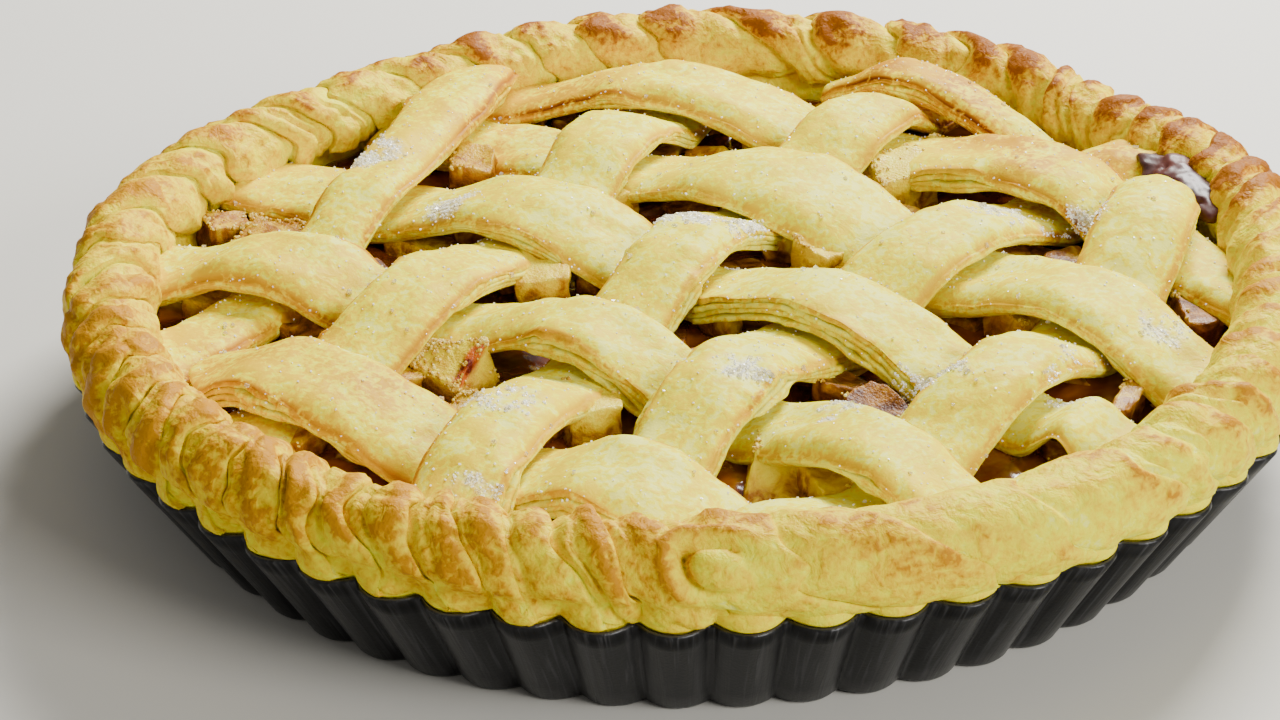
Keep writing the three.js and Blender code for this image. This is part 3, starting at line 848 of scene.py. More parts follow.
# %% The rope's surface
def rope_shape(u, v):
    around = ROPE_SEAM + v * 2 * np.pi
    seam = ramp(0, SEAM_FADE, v * 2 * np.pi) * ramp(0, SEAM_FADE, (1 - v) * 2 * np.pi)
    number, share = split_wraps(u)
    wrap = number + share
    sway = 0.28 * wrap_noise(wrap, around, 1, 1, 12) + 0.1 * wrap_noise(wrap, around, 2, 2, 13)
    angle = wrap_angle(wrap + seam * sway - around / np.pi)
    loose = ramp(*LOOSE_SPACING, read_round(WRAP_SPACING, angle))
    loose = loose * ramp(-0.3, 0.2, np.cos(angle - LOOSE_ANGLE))
    centre_radius, centre_z = rope_centre(angle)
    smooth_radius = centre_radius + SMOOTH_ROPE * np.cos(around)
    smooth_z = centre_z + SMOOTH_ROPE * np.sin(around)
    smooth = ring_place(angle / (2 * np.pi), smooth_radius, smooth_z).T
    lumps = [seam * rumple(*(smooth / size), seed=30 + size) for size in (1, 3, 6, 11)]
    own, other = [seam * rumple((number % WRAPS) * 1.7, 0.5, seed=each) for each in (11, 14)]
    along = seam * rumple((number % WRAPS) * 1.7, around * 1.3, seed=16)
    peak = 0.64 + 0.12 * other + 0.16 * loose
    crest = wrap_crest(share, peak, loose)
    curl_away, curl_relief, curl_toast = rope_curl(angle, around)
    is_curl = 1 - ramp(1.9, 2.7, curl_away)
    crest = crest + (0.8 - crest) * is_curl
    split = seam * wrap_noise(wrap, around, 3, 0.9, 17)
    streaks = seam * wrap_noise(wrap, around, 7, 1.4, 15)
    relief = wrap_relief(share, loose, own, other, lumps, split, streaks)
    relief = relief * (0.35 + 0.65 * crest) * (1 - 0.75 * is_curl) + curl_relief * is_curl
    sunk = CREASE_DEPTH * (1 + 0.4 * own + 0.4 * along) * (1 - 0.35 * loose) * (1 - crest)
    thick = ROPE_THICKNESS + ROPE_LOBE * (0.4 + 0.5 * own + 0.4 * along) - sunk + relief
    lean = ramp(0.35, 0.9, share) * (1 - ramp(0.93, 1, share)) * (1 - is_curl) * seam
    leaning = angle + LIP_LEAN * (1 + 0.6 * own) * lean / ROPE_RADIUS
    radius = centre_radius + thick * np.cos(around)
    z = centre_z + thick * np.sin(around)
    radius, z, low = follow_flutes(angle, around, radius, z, relief - sunk * 0.5)
    lip = bell(share - peak - 0.08, 0.16) * (1 - 0.5 * loose)
    brown = rope_brown(angle, around, crest, own, along, lumps, streaks, lip) - 0.06 * low
    brown = brown * (1 - 0.45 * is_curl) + is_curl * 0.5 * curl_toast
    # The back of the rope came out darkest.
    hottest = 0.73 + 0.13 * ramp(0.05, 0.6, np.sin(angle) + 0.3 * np.cos(angle))
    return ring_place(leaning / (2 * np.pi), radius, z), {"brown": brown, "hottest": hottest}


rope = wrap_sheet("twisted_rope", WRAPS * COLUMNS_PER_WRAP, ROWS_ROUND_ROPE, rope_shape)
rope.data.materials.append(dough("rope_dough", ("brown", "hottest"), {"Mottle": 0.42}, 0.9))
settle(rope, "rope", "rope_rim")

# %% [markdown]
# ## The woven strips
#
# Each strip follows its own slightly bowed line over the pie and goes over and under the strips
# that it crosses. Its path, its width and its height are worked out first. The strips are
# rolled puff dough: a smooth domed top, and cut sides that opened into thin layers in the oven.

# %% Strips of the lattice: direction, distance from the middle, bow, widths, and cut ends
STRIPS = {
    "a1": (-33.3, -90, -2, (29, 26, 23), (8, 0)),
    "a2": (-34.7, -67, 24, (27, 21, 22), (0, 0)),
    "a3": (-37.3, -14, 15, (30, 25, 21), (0, 0)),
    "a4": (-39.6, 27, 16, (26, 31, 23), (0, 0)),
    "a5": (-35.5, 57, 30, (24.5, 30, 21.5), (0, 0)),
    "a6": (-41, 101.6, 8, (15, 15, 14), (12, 6)),
    "b1": (66.5, 102, -16, (22, 16, 24), (0, 0)),
    "b2": (62.4, 52.7, -7, (21, 21, 24), (0, 0)),
    "b3": (60.7, -6.4, 9.7, (20, 20, 22), (0, 0)),
    "b4": (51.8, -57.5, 18.7, (17, 22, 23), (0, 0)),
    "b5": (54.8, -66, -22, (22, 23, 20), (0, 10)),
}
WEAVE_FAULTS = {"a1 b1", "a4 b1"}
WEAVE_RAISES = {
    "a1 b4": -0.6,
    "a5 b3": 0.5,
    "a5 b4": 0.9,
    "a5 b5": 3,
    "a6 b3": 2.4,
    "a6 b4": -2.4,
}
BOW_REACH = 115.0
WEAVE_MIDDLE_Z = 38.0
WEAVE_LIFT = 4.9
WEAVE_LEVEL = 0.3
END_Z = 34.5
END_RUN = 18.0
print("strips:", len(STRIPS), "and crossings woven out of turn:", len(WEAVE_FAULTS))


# %% One strip's line over the pie
class Strip:
    """A lattice strip's path, in millimetres along it and aside of it."""

    def __init__(self, name, angle, offset, bow, widths, cuts):
        self.name = name
        self.offset = offset
        self.bow = bow
        self.widths = widths
        self.cuts = cuts
        turn = math.radians(angle)
        self.along = np.array([math.cos(turn), math.sin(turn)])
        self.across = np.array([-self.along[1], self.along[0]])

    def middle(self, t):
        return self.offset + self.bow * (1 - (t / BOW_REACH) ** 2)

    def at(self, t, side):
        spread = self.middle(t) + side
        x = self.along[0] * t + self.across[0] * spread
        y = self.along[1] * t + self.across[1] * spread
        return x, y

    def width(self, t):
        start, centre, end = self.widths
        share = np.minimum(1, np.abs(t) / BOW_REACH)
        return centre + (np.where(t < 0, start, end) - centre) * share


strips = {name: Strip(name, *numbers) for name, numbers in STRIPS.items()}
print("widths across the middle:", {name: float(strip.width(0)) for name, strip in strips.items()})


# %% Where strips cross, and where they meet the rope
CROSSING_STEPS = 30
HALVINGS = 40
BEYOND_RIM = 160.0
ROPE_GAP = 0.5


def crossing(first, second):
    """Length along the first strip where the second crosses it."""
    t = 0.0
    for _ in range(CROSSING_STEPS):
        x, y = first.at(t, 0)
        along = second.along @ (x, y)
        aside = second.across @ (x, y) - second.middle(along)
        t -= aside / (first.along @ second.across)
    return t


def inside_rim(x, y):
    radius, _ = rope_centre(np.arctan2(y, x))
    return np.hypot(x, y) < radius - ROPE_THICKNESS - ROPE_LOBE - ROPE_GAP


def rim_along(strip, side, sign):
    """How far along its side line a strip reaches before it meets the rope."""
    inside = np.zeros(np.shape(side))
    outside = np.full(np.shape(side), sign * BEYOND_RIM)
    for _ in range(HALVINGS):
        middle = (inside + outside) / 2
        is_inside = inside_rim(*strip.at(middle, side))
        inside = np.where(is_inside, middle, inside)
        outside = np.where(is_inside, outside, middle)
    return inside


def end_along(strip, side, sign):
    """The same, with a cut end pulled back and squared."""
    rim = rim_along(strip, side, sign)
    cut = strip.cuts[0 if sign < 0 else 1]
    if cut == 0:
        return rim
    square = rim_along(strip, 0.0, sign) - sign * cut
    return np.maximum(rim, square) if sign < 0 else np.minimum(rim, square)


print("a3 meets b3 at", round(float(crossing(strips["a3"], strips["b3"])), 1), "mm along")


# %% Which strip lies over
def is_over(strip, other):
    a, b = sorted((strip, other), key=lambda each: each.name)
    first_over = (int(a.name[1]) + int(b.name[1])) % 2 == 1
    if f"{a.name} {b.name}" in WEAVE_FAULTS:
        first_over = not first_over
    return first_over == (strip is a)


over_b3 = [name for name in strips if name[0] == "a" and is_over(strips[name], strips["b3"])]
print("strips that pass over b3:", ", ".join(over_b3))


# %% Heights over and under the crossings
def height_marks(strip):
    """Length, half width and top height at both ends and at every crossing."""
    marks = []
    for other in strips.values():
        if other.name[0] == strip.name[0]:
            continue
        t = crossing(strip, other)
        if inside_rim(*strip.at(t, 0)):
            key = " ".join(sorted((strip.name, other.name)))
            lift = WEAVE_LIFT if is_over(strip, other) else -WEAVE_LIFT
            half = float(other.width(crossing(other, strip))) / 2
            marks.append((t, half, WEAVE_MIDDLE_Z + WEAVE_RAISES.get(key, 0) + lift))
    marks.sort()
    ends = []
    for sign, last in ((-1, marks[0]), (1, marks[-1])):
        t = float(end_along(strip, 0.0, sign))
        free = min(1, max(0, (abs(t - last[0]) - last[1]) / END_RUN))
        ends.append((t, 0, last[2] + (END_Z - last[2]) * free))
    return [ends[0], *marks, ends[1]]


def height_at(marks, t):
    """Top height along a strip, a smooth step from each mark to the next."""
    height = np.full(np.shape(t), float(marks[0][2]))
    for (from_t, from_half, from_z), (to_t, to_half, to_z) in zip(marks, marks[1:]):
        leaves = from_t + WEAVE_LEVEL * from_half
        arrives = to_t - WEAVE_LEVEL * to_half
        share = ramp(leaves, arrives, t)
        height = np.where(t > from_t, from_z + (to_z - from_z) * share, height)
    return height


for strip in strips.values():
    strip.marks = height_marks(strip)
print("crossings:", sum(len(strip.marks) - 2 for strip in strips.values()) // 2)


# %% Where single strips left the weave's plain form
HUMPS = {  # length, half width, rise and lean where a strip arched up or sank on its own
    "a3": (107, 6.2, 4.8, 0.4),
    "b5": (-86, 28, -4.6, 0.0),
}
PINCHED = {"b5": (-22, 34, 3.6)}  # length, half width and depth where the right edge drew in
ARCH_THINS = 0.3


def arch_rise(strip, t, across):
    """How far a strip rises on its own, and how strongly it arches, from 0 to 1."""
    place, spread, rise, lean = HUMPS.get(strip.name, (0, 1, 0, 0))
    arch = bell(t - place, spread) if rise else np.zeros_like(t)
    return rise * (1 - lean * across) * arch, arch * (rise > 0)


def drawn_in(strip, t, across):
    place, spread, depth = PINCHED.get(strip.name, (0, 1, 0))
    return np.where(across < 0, -across * depth * bell(t - place, spread), 0.0)


arches = arch_rise(strips["a3"], np.array([107.0]), np.array([0.0]))
print("a3 arches up by", round(float(arches[0][0]), 1), "mm")

# %% [markdown]
# A strip's section has a domed top and two sides split into thin layers, with a notch between
# each two. The section is swept along the path. Noise makes every layer run in and out on its
# own, as real flakes do, and the last ring at either end is drawn into one point, which closes
# the piece inside the rope.

# %% The section of a strip
TOP_POINTS = 21
SIDE_LAYERS = 4
STRIP_THICKNESS = 6.4
STRIP_INTO_ROPE = 3.5  # each strip is baked into the rope by this much
ROLL_OVER = 2.7  # how far the top bends down at its edges
NOTCH = 1.5
FLAKE_REACH = 0.9


def strip_section():
    """Points round a strip: place across, level from 0 to 1, side, layer and notch."""
    crowded = np.sin(np.linspace(-1, 1, TOP_POINTS) * np.pi / 2)
    points = [(across, 1.0, 0.0, 0, 0.0) for across in crowded]
    right = []
    for layer in range(SIDE_LAYERS):
        for part, notch in ((0.1, 0.0), (0.5, 0.0), (0.9, 0.0), (1.0, 1.0)):
            level = 1 - (layer + part) / SIDE_LAYERS
            right.append((1.0, level, 1.0, layer, notch if layer < SIDE_LAYERS - 1 else 0.0))
    bottom = [(across, 0.0, 1.0, SIDE_LAYERS, 0.3) for across in np.linspace(0.85, -0.85, 7)]
    left = [(-across, *others) for across, *others in right[::-1]]
    return np.array(points + right + bottom + left).T


SECTION = strip_section()
print("a strip's section has", SECTION.shape[1], "points")

# %% Soft round spots, each with x, y and spread: where a side opened into layers
FLAKED = (
    (-29, -51, 13), (-10, -65, 10), (12, -20, 15), (31, -38, 14), (40, -60, 10), (-94, -64, 13),
    (-32, -105, 12), (12, -64, 8), (-20, 66, 12), (60, 40, 10),
)

# Where the oven toasted an edge
TOASTED = (
    (-50, -36, 13), (-33, -46, 10), (-85, -60, 14), (-60, -86, 9), (-52, -98, 8), (12, -70, 7),
    (-70, 10, 10), (-40, 22, 10), (75, 60, 16), (95, 20, 12), (104, 22, 9), (40, 95, 20),
    (-30, 90, 22), (114, -14, 7), (-100, 10, 12), (-84, -24, 8),
)

# Where the tops came out golden, first strongly and then a little
GOLDEN_TOPS = (
    (52, 97, 10), (70, 84, 11), (72, 66, 10), (82, 52, 11), (82, 36, 9), (104, 48, 12),
    (88, 14, 5),
)
WARM_TOPS = (
    (-30, 100, 16),
    (-48, 74, 12),
    (-96, -40, 16),
    (-66, -62, 12),
)


def spotted(spots, x, y):
    """Sum of soft round spots, each about 1 in its middle."""
    return sum(np.exp(-(((x - a) ** 2 + (y - b) ** 2) / spread**2)) for a, b, spread in spots)


# Where the sugar lies thick
FROSTED = (
    (-77, 52, 9), (11, 13, 9), (72, 18, 10), (79, -61, 9), (-2, 14, 7), (-57, 30, 8),
    (48, -58, 10), (8, -62, 7), (-41, -73, 9), (26, -76, 7), (-47, -105, 7), (92, 14, 7),
    (100, -40, 7),
)


def frost_at(x, y):
    """0 where the crust is bare and 1 where melted sugar covers it."""
    patchy = 0.6 + 0.5 * rumple(x / 3.2, y / 3.2, seed=51)
    patchy = patchy + 0.35 * rumple(x / 1.2, y / 1.2, seed=52)
    return ramp(0.25, 0.75, spotted(FROSTED, x, y) * patchy)


print("spots:", len(FLAKED), "flaked,", len(TOASTED), "toasted,", len(FROSTED), "sugared")


# %% How a strip browned
def strip_masks(x, y, t, across, level, is_side, edge_side, top, noise):
    """Browning of a strip's top, edges and sides, and the most that each may brown."""
    edge = ramp(0.87, 0.995, np.abs(across)) * (1 - is_side)
    line = 0.5 + 0.5 * noise(t / 16, edge_side, 12) + 0.2 * noise(t / 4, edge_side, 13)
    cloudy = 0.12 * rumple(x / 14, y / 14, seed=21) + 0.08 * rumple(x / 5, y / 5, seed=22)
    heated = np.maximum(edge, is_side * ramp(0.7, 0.97, level))
    toasted = heated * np.clip(spotted(TOASTED, x, y), 0, 1)
    golden = np.clip(spotted(GOLDEN_TOPS, x, y) + 0.6 * spotted(WARM_TOPS, x, y), 0, 1)
    left = ramp(10, 95, -x)
    brown = 0.17 + heated * (0.22 + 0.5 * np.clip(line, 0, 1)) + cloudy + 0.2 * toasted
    brown = brown + 0.12 * ramp(10, 125, y) + 0.12 * ramp(106, 124, np.hypot(x, y))
    brown = brown + 0.4 * golden + 0.16 * left
    brown = brown + 0.008 * (top - WEAVE_MIDDLE_Z) * (1 - is_side) + 0.05 * is_side
    hottest = 0.38 + 0.2 * heated + 0.12 * toasted + 0.08 * ramp(60, 110, y)
    hottest = hottest + 0.1 * left + 0.3 * golden
    frost = frost_at(x, y) * (1 - is_side) * (1 - 0.8 * edge)
    return {"brown": brown, "hottest": hottest, "frost": frost}


print("golden spots on the strips:", len(GOLDEN_TOPS), "strong and", len(WARM_TOPS), "weak")


# %% A strip's ends, opened sides and relief
ROUNDED_END = 9.0
WIDEST_HALF = 10  # millimetres aside at which a strip's ends are measured


def strip_ends(strip, across):
    """Where each line along a strip starts and ends, sunk into the rope unless it was cut."""
    start, end = [end_along(strip, across * WIDEST_HALF, sign) for sign in (-1, 1)]
    start = start - (STRIP_INTO_ROPE if strip.cuts[0] == 0 else 0)
    return start, end + (STRIP_INTO_ROPE if strip.cuts[1] == 0 else 0)


def end_taper(strip, from_ends):
    """1 along a strip. A cut end is rounded: its last stretch narrows like a circle."""
    taper = np.ones_like(from_ends[0])
    for is_cut, gone in zip(strip.cuts, from_ends):
        if is_cut:
            taper = taper * np.sqrt(1 - (1 - np.clip(gone / ROUNDED_END, 0, 1)) ** 2.6)
    return taper


def flakiness(strip, t, aside, edge_side, noise):
    """Where a side opened into layers, from 0 to 1."""
    flaky = ramp(0.3, 0.7, noise(t / 17, edge_side * 2, 1)) * 0.5
    return np.clip(flaky + ramp(0.2, 0.7, spotted(FLAKED, *strip.at(t, aside))), 0, 1)


def open_layers(t, level, is_side, layer, notch, edge_side, flaky, noise):
    """The level of a side's points and how far they stand out: each layer runs on its own."""
    inner = np.where((level > 0) & (level < 1), 1.0, 0.0) * is_side
    ragged = noise(t / 11 + layer * 9.7, edge_side, 2) * (0.1 + 0.9 * flaky)
    ragged = ragged + 0.4 * noise(t / 2.2 + layer * 5.3, edge_side, 3) * (0.25 + 0.75 * flaky)
    drift = 0.06 * noise(t / 9 + layer * 4.1, edge_side, 4) + 0.03 * noise(t / 3, layer * 3, 5)
    level = level + inner * drift
    bulge = 1.2 * (1 - 0.6 * flaky) * np.sin(np.pi * np.clip(level * 0.9, 0, 1))
    bulge = bulge + (2.6 * flaky - 0.9) * (1 - level)
    flake = FLAKE_REACH * ragged * (0.4 + 0.6 * inner) - NOTCH * notch * (0.04 + 0.96 * flaky)
    return level, flake + bulge


def strip_relief(t, side, noise):
    relief = 0.8 * noise(t / 12, side / 9, 6) + 0.36 * noise(t / 5, side / 4, 7)
    return relief + 0.1 * noise(t / 1.9, side / 1.7, 8)


print("a cut end is rounded over its last", ROUNDED_END, "mm")


# %% Sweep the section along a strip's path
STRIP_STEP = 0.8
EDGE_NOISE = 3  # keeps the noise of a strip's two edges apart


def strip_shape(strip, seed):
    def noise(along, aside, step):
        return rumple(along, aside, 0.0, seed=seed + step)

    def shape(u, v):
        count = SECTION.shape[1]
        across, level, is_side, layer, notch = SECTION[:, np.round(v * count).astype(int) % count]
        start, end = strip_ends(strip, across)
        t = start + (end - start) * u
        edge_side = np.sign(across) * EDGE_NOISE
        half = strip.width(t) / 2
        half = half * (1 + 0.04 * noise(t / 15, edge_side, 0) + 0.015 * noise(t / 5, edge_side, 9))
        taper = end_taper(strip, (t - start, end - t))
        flaky = flakiness(strip, t, across * half, edge_side, noise)
        level, out = open_layers(t, level, is_side, layer, notch, edge_side, flaky, noise)
        side = across * half * taper + np.sign(across) * is_side * out * taper
        side = side + drawn_in(strip, t, across)
        roll = ROLL_OVER * (1 - 0.75 * flaky)
        drop = roll * np.abs(across) ** 5 + 0.6 * across**2
        relief = strip_relief(t, side, noise)
        rise, arch = arch_rise(strip, t, across)
        top = height_at(strip.marks, t) + rise - 1.5 * (1 - taper)
        thickness = STRIP_THICKNESS * (0.4 + 0.6 * taper) * (1 - ARCH_THINS * arch)
        low = top - thickness + 0.3 * noise(t / 6, edge_side, 10)
        on_side = low + (top - 0.6 - roll - low) * level + relief * level
        z = np.where(is_side > 0.5, on_side, top - drop + relief)
        z = z + 0.06 * noise(t / 40, 0.0, 11) * side
        x, y = strip.at(t, side)
        # The first and the last ring are drawn into a point each.
        closing = (u < 1e-6) | (u > 1 - 1e-6)
        tip_t = np.where(u < 0.5, np.min(t[closing]), np.max(t[closing]))
        tip_x, tip_y = strip.at(tip_t, 0)
        tip_z = height_at(strip.marks, tip_t) - STRIP_THICKNESS / 2
        x, y, z = np.where(closing, (tip_x, tip_y, tip_z), (x, y, z))
        masks = strip_masks(x, y, t, across, level, is_side, edge_side, top, noise)
        # Painted shade darkens the notches between layers and the strip's underside.
        masks.update(side=is_side, gap=0.95 * notch * (0.12 + 0.88 * flaky))
        return np.stack([x, y, z], axis=1), masks

    return shape


print("a strip's rings lie", STRIP_STEP, "mm apart")


# %% Make all strips
STRIP_MASKS = ("brown", "side", "gap", "frost", "hottest")
strip_dough = dough("strip_dough", STRIP_MASKS, {"Mottle": 0.8}, 0.3)


def make_strip(strip, seed):
    length = strip.marks[-1][0] - strip.marks[0][0] + 2 * STRIP_INTO_ROPE
    rings = int(length / STRIP_STEP)
    shape = strip_shape(strip, seed)
    piece = wrap_sheet(f"lattice_{strip.name}", rings, SECTION.shape[1], shape)
    piece.data.materials.append(strip_dough)
    return settle(piece, "strip", f"strip_{strip.name}")


strip_pieces = [make_strip(strip, 100 + 20 * index) for index, strip in enumerate(strips.values())]

# %% [markdown]
# ## The filling
#
# Under the lattice lies the fruit in its syrup. The body of it is one wet mound, dark and
# glossy. Apple chunks are cut cubes and wedges: a few are modelled once, then copied by the
# hundred, each copy with its own size and turn.

# %% The syrup
FILLING_TOP = 25.6
SYRUP_RISES = (
    # x, y, radius, rise: pools where the syrup boiled up between the chunks
    (6, -77, 9, 3.0), (47, -58, 10, 3.5), (-71, -75, 13, 4.5), (-102, -57, 9, 7),
    (60, -77, 12, 2.5), (92, -42, 14, 3.5), (114, -12, 8, 4), (116, 38, 9, 9), (-15, -48, 8, 2),
    (-96, -5, 9, 3), (-6, 120, 14, 4),
)


def syrup_height(x, y):
    height = FILLING_TOP + 0.9 * rumple(x / 10, y / 10, seed=31)
    height = height + 0.35 * rumple(x / 3.5, y / 3.5, seed=32)
    for *pool, rise in SYRUP_RISES:
        height = height + rise * spotted([pool], x, y)
    return height


SYRUP_PROFILE = (  # share of the way round a section from the underside's middle, reach, height
    (0, 0, 6.8), (0.04, 116.8, 6.8), (0.08, 117.4, 8), (0.12, 122.5, 21), (0.16, 122.8, 23),
    (1, 0, 0),
)
SURFACE_STARTS = 0.155
HIGHEST_SYRUP = 36


def syrup_shape(u, v):
    angle = u * 2 * np.pi
    knots, reaches, heights = zip(*SYRUP_PROFILE)
    reach = np.interp(v, knots, reaches)
    x = reach * np.cos(angle)
    y = reach * np.sin(angle)
    surface = np.minimum(syrup_height(x, y), HIGHEST_SYRUP)
    z = np.where(v > SURFACE_STARTS, surface, np.interp(v, knots, heights))
    return np.stack([x, y, z], axis=1), {}


syrup = wrap_sheet("syrup", 360, 150, syrup_shape)
print("pools that boiled up:", len(SYRUP_RISES))

# %% The syrup's glaze
BUBBLE_SIZE = 2.2
CLEAR_SYRUP = [(0.3, paint(62, 20, 6)), (0.5, paint(112, 50, 12)), (0.72, paint(172, 100, 28))]


def syrup_glaze(name, stops, roughness, coat):
    numbers = {"Roughness": roughness, "Coat Weight": coat}
    material, tree, shader = new_material(name, numbers)
    place = place_on(tree)
    depth = noise_on(tree, place, 14, 3, 0.5)
    feed(tree, colour_ramp(tree, depth, stops), shader.inputs["Base Color"])
    values = {"Vector": place, "Scale": 1 / (BUBBLE_SIZE * MM)}
    bubbles = add_node(tree, "ShaderNodeTexVoronoi", values, feature="SMOOTH_F1")
    normal = bump_with(tree, bubbles.outputs["Distance"], 0.35, 0.6)
    feed(tree, normal, shader.inputs["Normal"])
    return material


syrup.data.materials.append(syrup_glaze("syrup_glaze", CLEAR_SYRUP, 0.12, 0.6))
settle(syrup, "filling", "filling")

# %% [markdown]
# At the right the syrup boiled over and set as a dark lump between the lattice and the rope. It
# could be a plain ball, but it has to bend along the rim. So it is a grid laid out as a ball in
# the rim's own directions, across, along and up, flattened and swollen by noise.

# %% The lump of spilled syrup
SPILL_ANGLE = math.radians(15.5)
SPILL_RADIUS = 122.0
SPILL_Z = 38.6
SPILL_ACROSS, SPILL_ALONG, SPILL_UP = 7.6, 17.0, 4.8
DARK_SYRUP = [(0.3, paint(44, 12, 9)), (0.55, paint(80, 28, 20)), (0.75, paint(116, 54, 36))]


def spill_shape(u, v):
    turn = u * 2 * np.pi
    rise = (v - 0.5) * np.pi
    across = np.cos(rise) * np.cos(turn)
    along = np.cos(rise) * np.sin(turn)
    up = np.sin(rise)
    swell = 1 + 0.2 * rumple(along * 3, across * 2, up * 2, seed=41)
    swell = swell + 0.08 * rumple(along * 9, across * 4, up * 4, seed=42)
    angle = SPILL_ANGLE + SPILL_ALONG * along * swell / SPILL_RADIUS
    radius = SPILL_RADIUS + SPILL_ACROSS * across * swell
    return ring_place(angle / (2 * np.pi), radius, SPILL_Z + SPILL_UP * up * swell), {}


spill = wrap_sheet("spilled_syrup", 96, 32, spill_shape)
spill.data.materials.append(syrup_glaze("dark_syrup", DARK_SYRUP, 0.42, 0.0))
settle(spill, "filling")

# %% [markdown]
# A chunk starts as a cube. Its top is drawn in, a corner is cut off by a bisection that fills
# the cut, its edges are bevelled, and a subdivided skin is shaken a little. Four of them, a
# block, a wedge, a slice and a lump, are enough to build the whole heap. The fine ones are for
# the chunks that show.

# %% Model the chunks
def select_by_normal(piece, direction, least):
    """Selects the faces that look in a direction."""
    bpy.ops.object.mode_set(mode="OBJECT")
    for face in piece.data.polygons:
        face.select = face.normal.dot(Vector(direction)) > least
    bpy.ops.object.mode_set(mode="EDIT")
    bpy.ops.mesh.select_mode(type="FACE")


def draw_in_top(piece, scale, cut_place, cut_normal):
    """Makes a cube's top smaller and cuts a corner off."""
    select_by_normal(piece, (0, 0, 1), 0.9)
    bpy.ops.transform.resize(value=scale)
    bpy.ops.mesh.select_all(action="SELECT")
    bpy.ops.mesh.bisect(plane_co=cut_place, plane_no=cut_normal, use_fill=True, clear_outer=True)


def round_off(piece, bevel, cuts):
    """Bevels all edges, divides the faces and gives them a soft skin."""
    bpy.ops.mesh.select_all(action="SELECT")
    bpy.ops.mesh.bevel(offset=bevel, segments=2, affect="EDGES")
    if cuts:
        bpy.ops.mesh.subdivide(number_cuts=cuts)
    bpy.ops.mesh.normals_make_consistent(inside=False)
    bpy.ops.object.mode_set(mode="OBJECT")
    skin = piece.modifiers.new("skin", "SUBSURF")
    skin.levels = skin.render_levels = 1
    bpy.ops.object.modifier_apply(modifier="skin")
    print(piece.name, "has", len(piece.data.polygons), "faces")


def model_chunk(name, top_scale, cut_place, cut_normal, seed, cuts):
    piece = add_piece(name, bpy.ops.mesh.primitive_cube_add, size=1)
    draw_in_top(piece, top_scale, cut_place, cut_normal)
    round_off(piece, 0.05, cuts)
    vertices = piece.data.vertices
    places = read_vectors(vertices)
    shake = [
        0.07 * rumple(*(places * 2.6).T, seed=seed + axis)
        + 0.028 * rumple(*(places * 8).T, seed=seed + 3 + axis)
        for axis in range(3)
    ]
    vertices.foreach_set("co", (places + np.stack(shake, axis=1)).ravel())
    return piece


# %% Four chunks, each fine and plain: top's scale, cut's place and direction, seed
CHUNK_FORMS = (
    ("block", (0.86, 0.9, 1), (0.42, 0.42, 0.3), (1, 1, 0.6), 61),
    ("wedge", (0.3, 0.95, 1), (0.3, -0.3, 0.3), (1, -1, 0.4), 67),
    ("slice", (0.95, 0.8, 1), (-0.4, 0.35, 0.4), (-1, 1, 0.5), 73),
    ("lump", (0.75, 0.8, 1), (0.36, 0.3, 0.3), (1, 1, 0.8), 79),
)
fine_chunks = [model_chunk(f"fine_{form[0]}", *form[1:], 2) for form in CHUNK_FORMS]
plain_chunks = [model_chunk(f"plain_{form[0]}", *form[1:], 0) for form in CHUNK_FORMS]

# %% Chunks cut to their own shape: four corners of the top, then four of the bottom
CUT_CHUNKS = {
    "skin_wedge": (
        (-45.7, -35.4, 36.6), (-58, -33, 35.2), (-62.5, -38.5, 32.6), (-52.4, -46.6, 30.6),
        (-42, -36, 24), (-56, -30, 23), (-59, -39, 23), (-48, -50, 23),
    ),
    "wet_block": (
        (22, -70, 32.4), (12, -69, 33.4), (10.6, -79.5, 33.4), (19.8, -81.5, 32.4),
        (24, -71, 24), (9, -69, 24), (7.5, -89.5, 25), (22, -87.5, 25),
    ),
}
CORNER_ORDER = ((1, 1), (-1, 1), (-1, -1), (1, -1))
SKIN_LINE = np.array(((-45.7, -35.4, 36.6), (-52.4, -46.6, 30.6)))
SKIN_REACH = 1.9


def apple_skin(places):
    """1 on the strip of skin that was left on the wedge's ridge."""
    start, end = SKIN_LINE
    ridge = end - start
    share = np.clip((places - start) @ ridge / (ridge @ ridge), 0, 1)
    away = np.linalg.norm(places - start - share[:, None] * ridge, axis=1)
    return 1 - ramp(0.7, 1.15, away / (SKIN_REACH * (0.55 + 0.6 * np.sin(np.pi * share))))


def model_cut_chunk(name, tone, seed):
    """A cube whose corners are put at given places, then bevelled and roughened."""
    piece = add_piece(name, bpy.ops.mesh.primitive_cube_add, size=2)
    for vertex in piece.data.vertices:
        x, y, z = (round(part) for part in vertex.co)
        vertex.co = CUT_CHUNKS[name][CORNER_ORDER.index((x, y)) + (0 if z > 0 else 4)]
    bpy.ops.object.mode_set(mode="EDIT")
    round_off(piece, 0.7, 6)
    mesh = piece.data
    places = read_vectors(mesh.vertices)
    rough = 0.5 * rumple(*(places / 3.5).T, seed=seed)
    rough = rough + 0.24 * rumple(*(places / 1.1).T, seed=seed + 1)
    places = places + read_vectors(mesh.vertex_normals, "vector") * rough[:, None]
    skin = apple_skin(places) if name == "skin_wedge" else np.zeros(len(places))
    keep_masks(mesh, {"skin": skin, "tone": np.full(len(places), tone)})
    mesh.vertices.foreach_set("co", ((places + PIE_MIDDLE) * MM).ravel())
    return piece


cut_chunks = [model_cut_chunk("skin_wedge", 0.34, 90), model_cut_chunk("wet_block", 0.1, 95)]
print("chunks cut to shape:", ", ".join(piece.name for piece in cut_chunks))

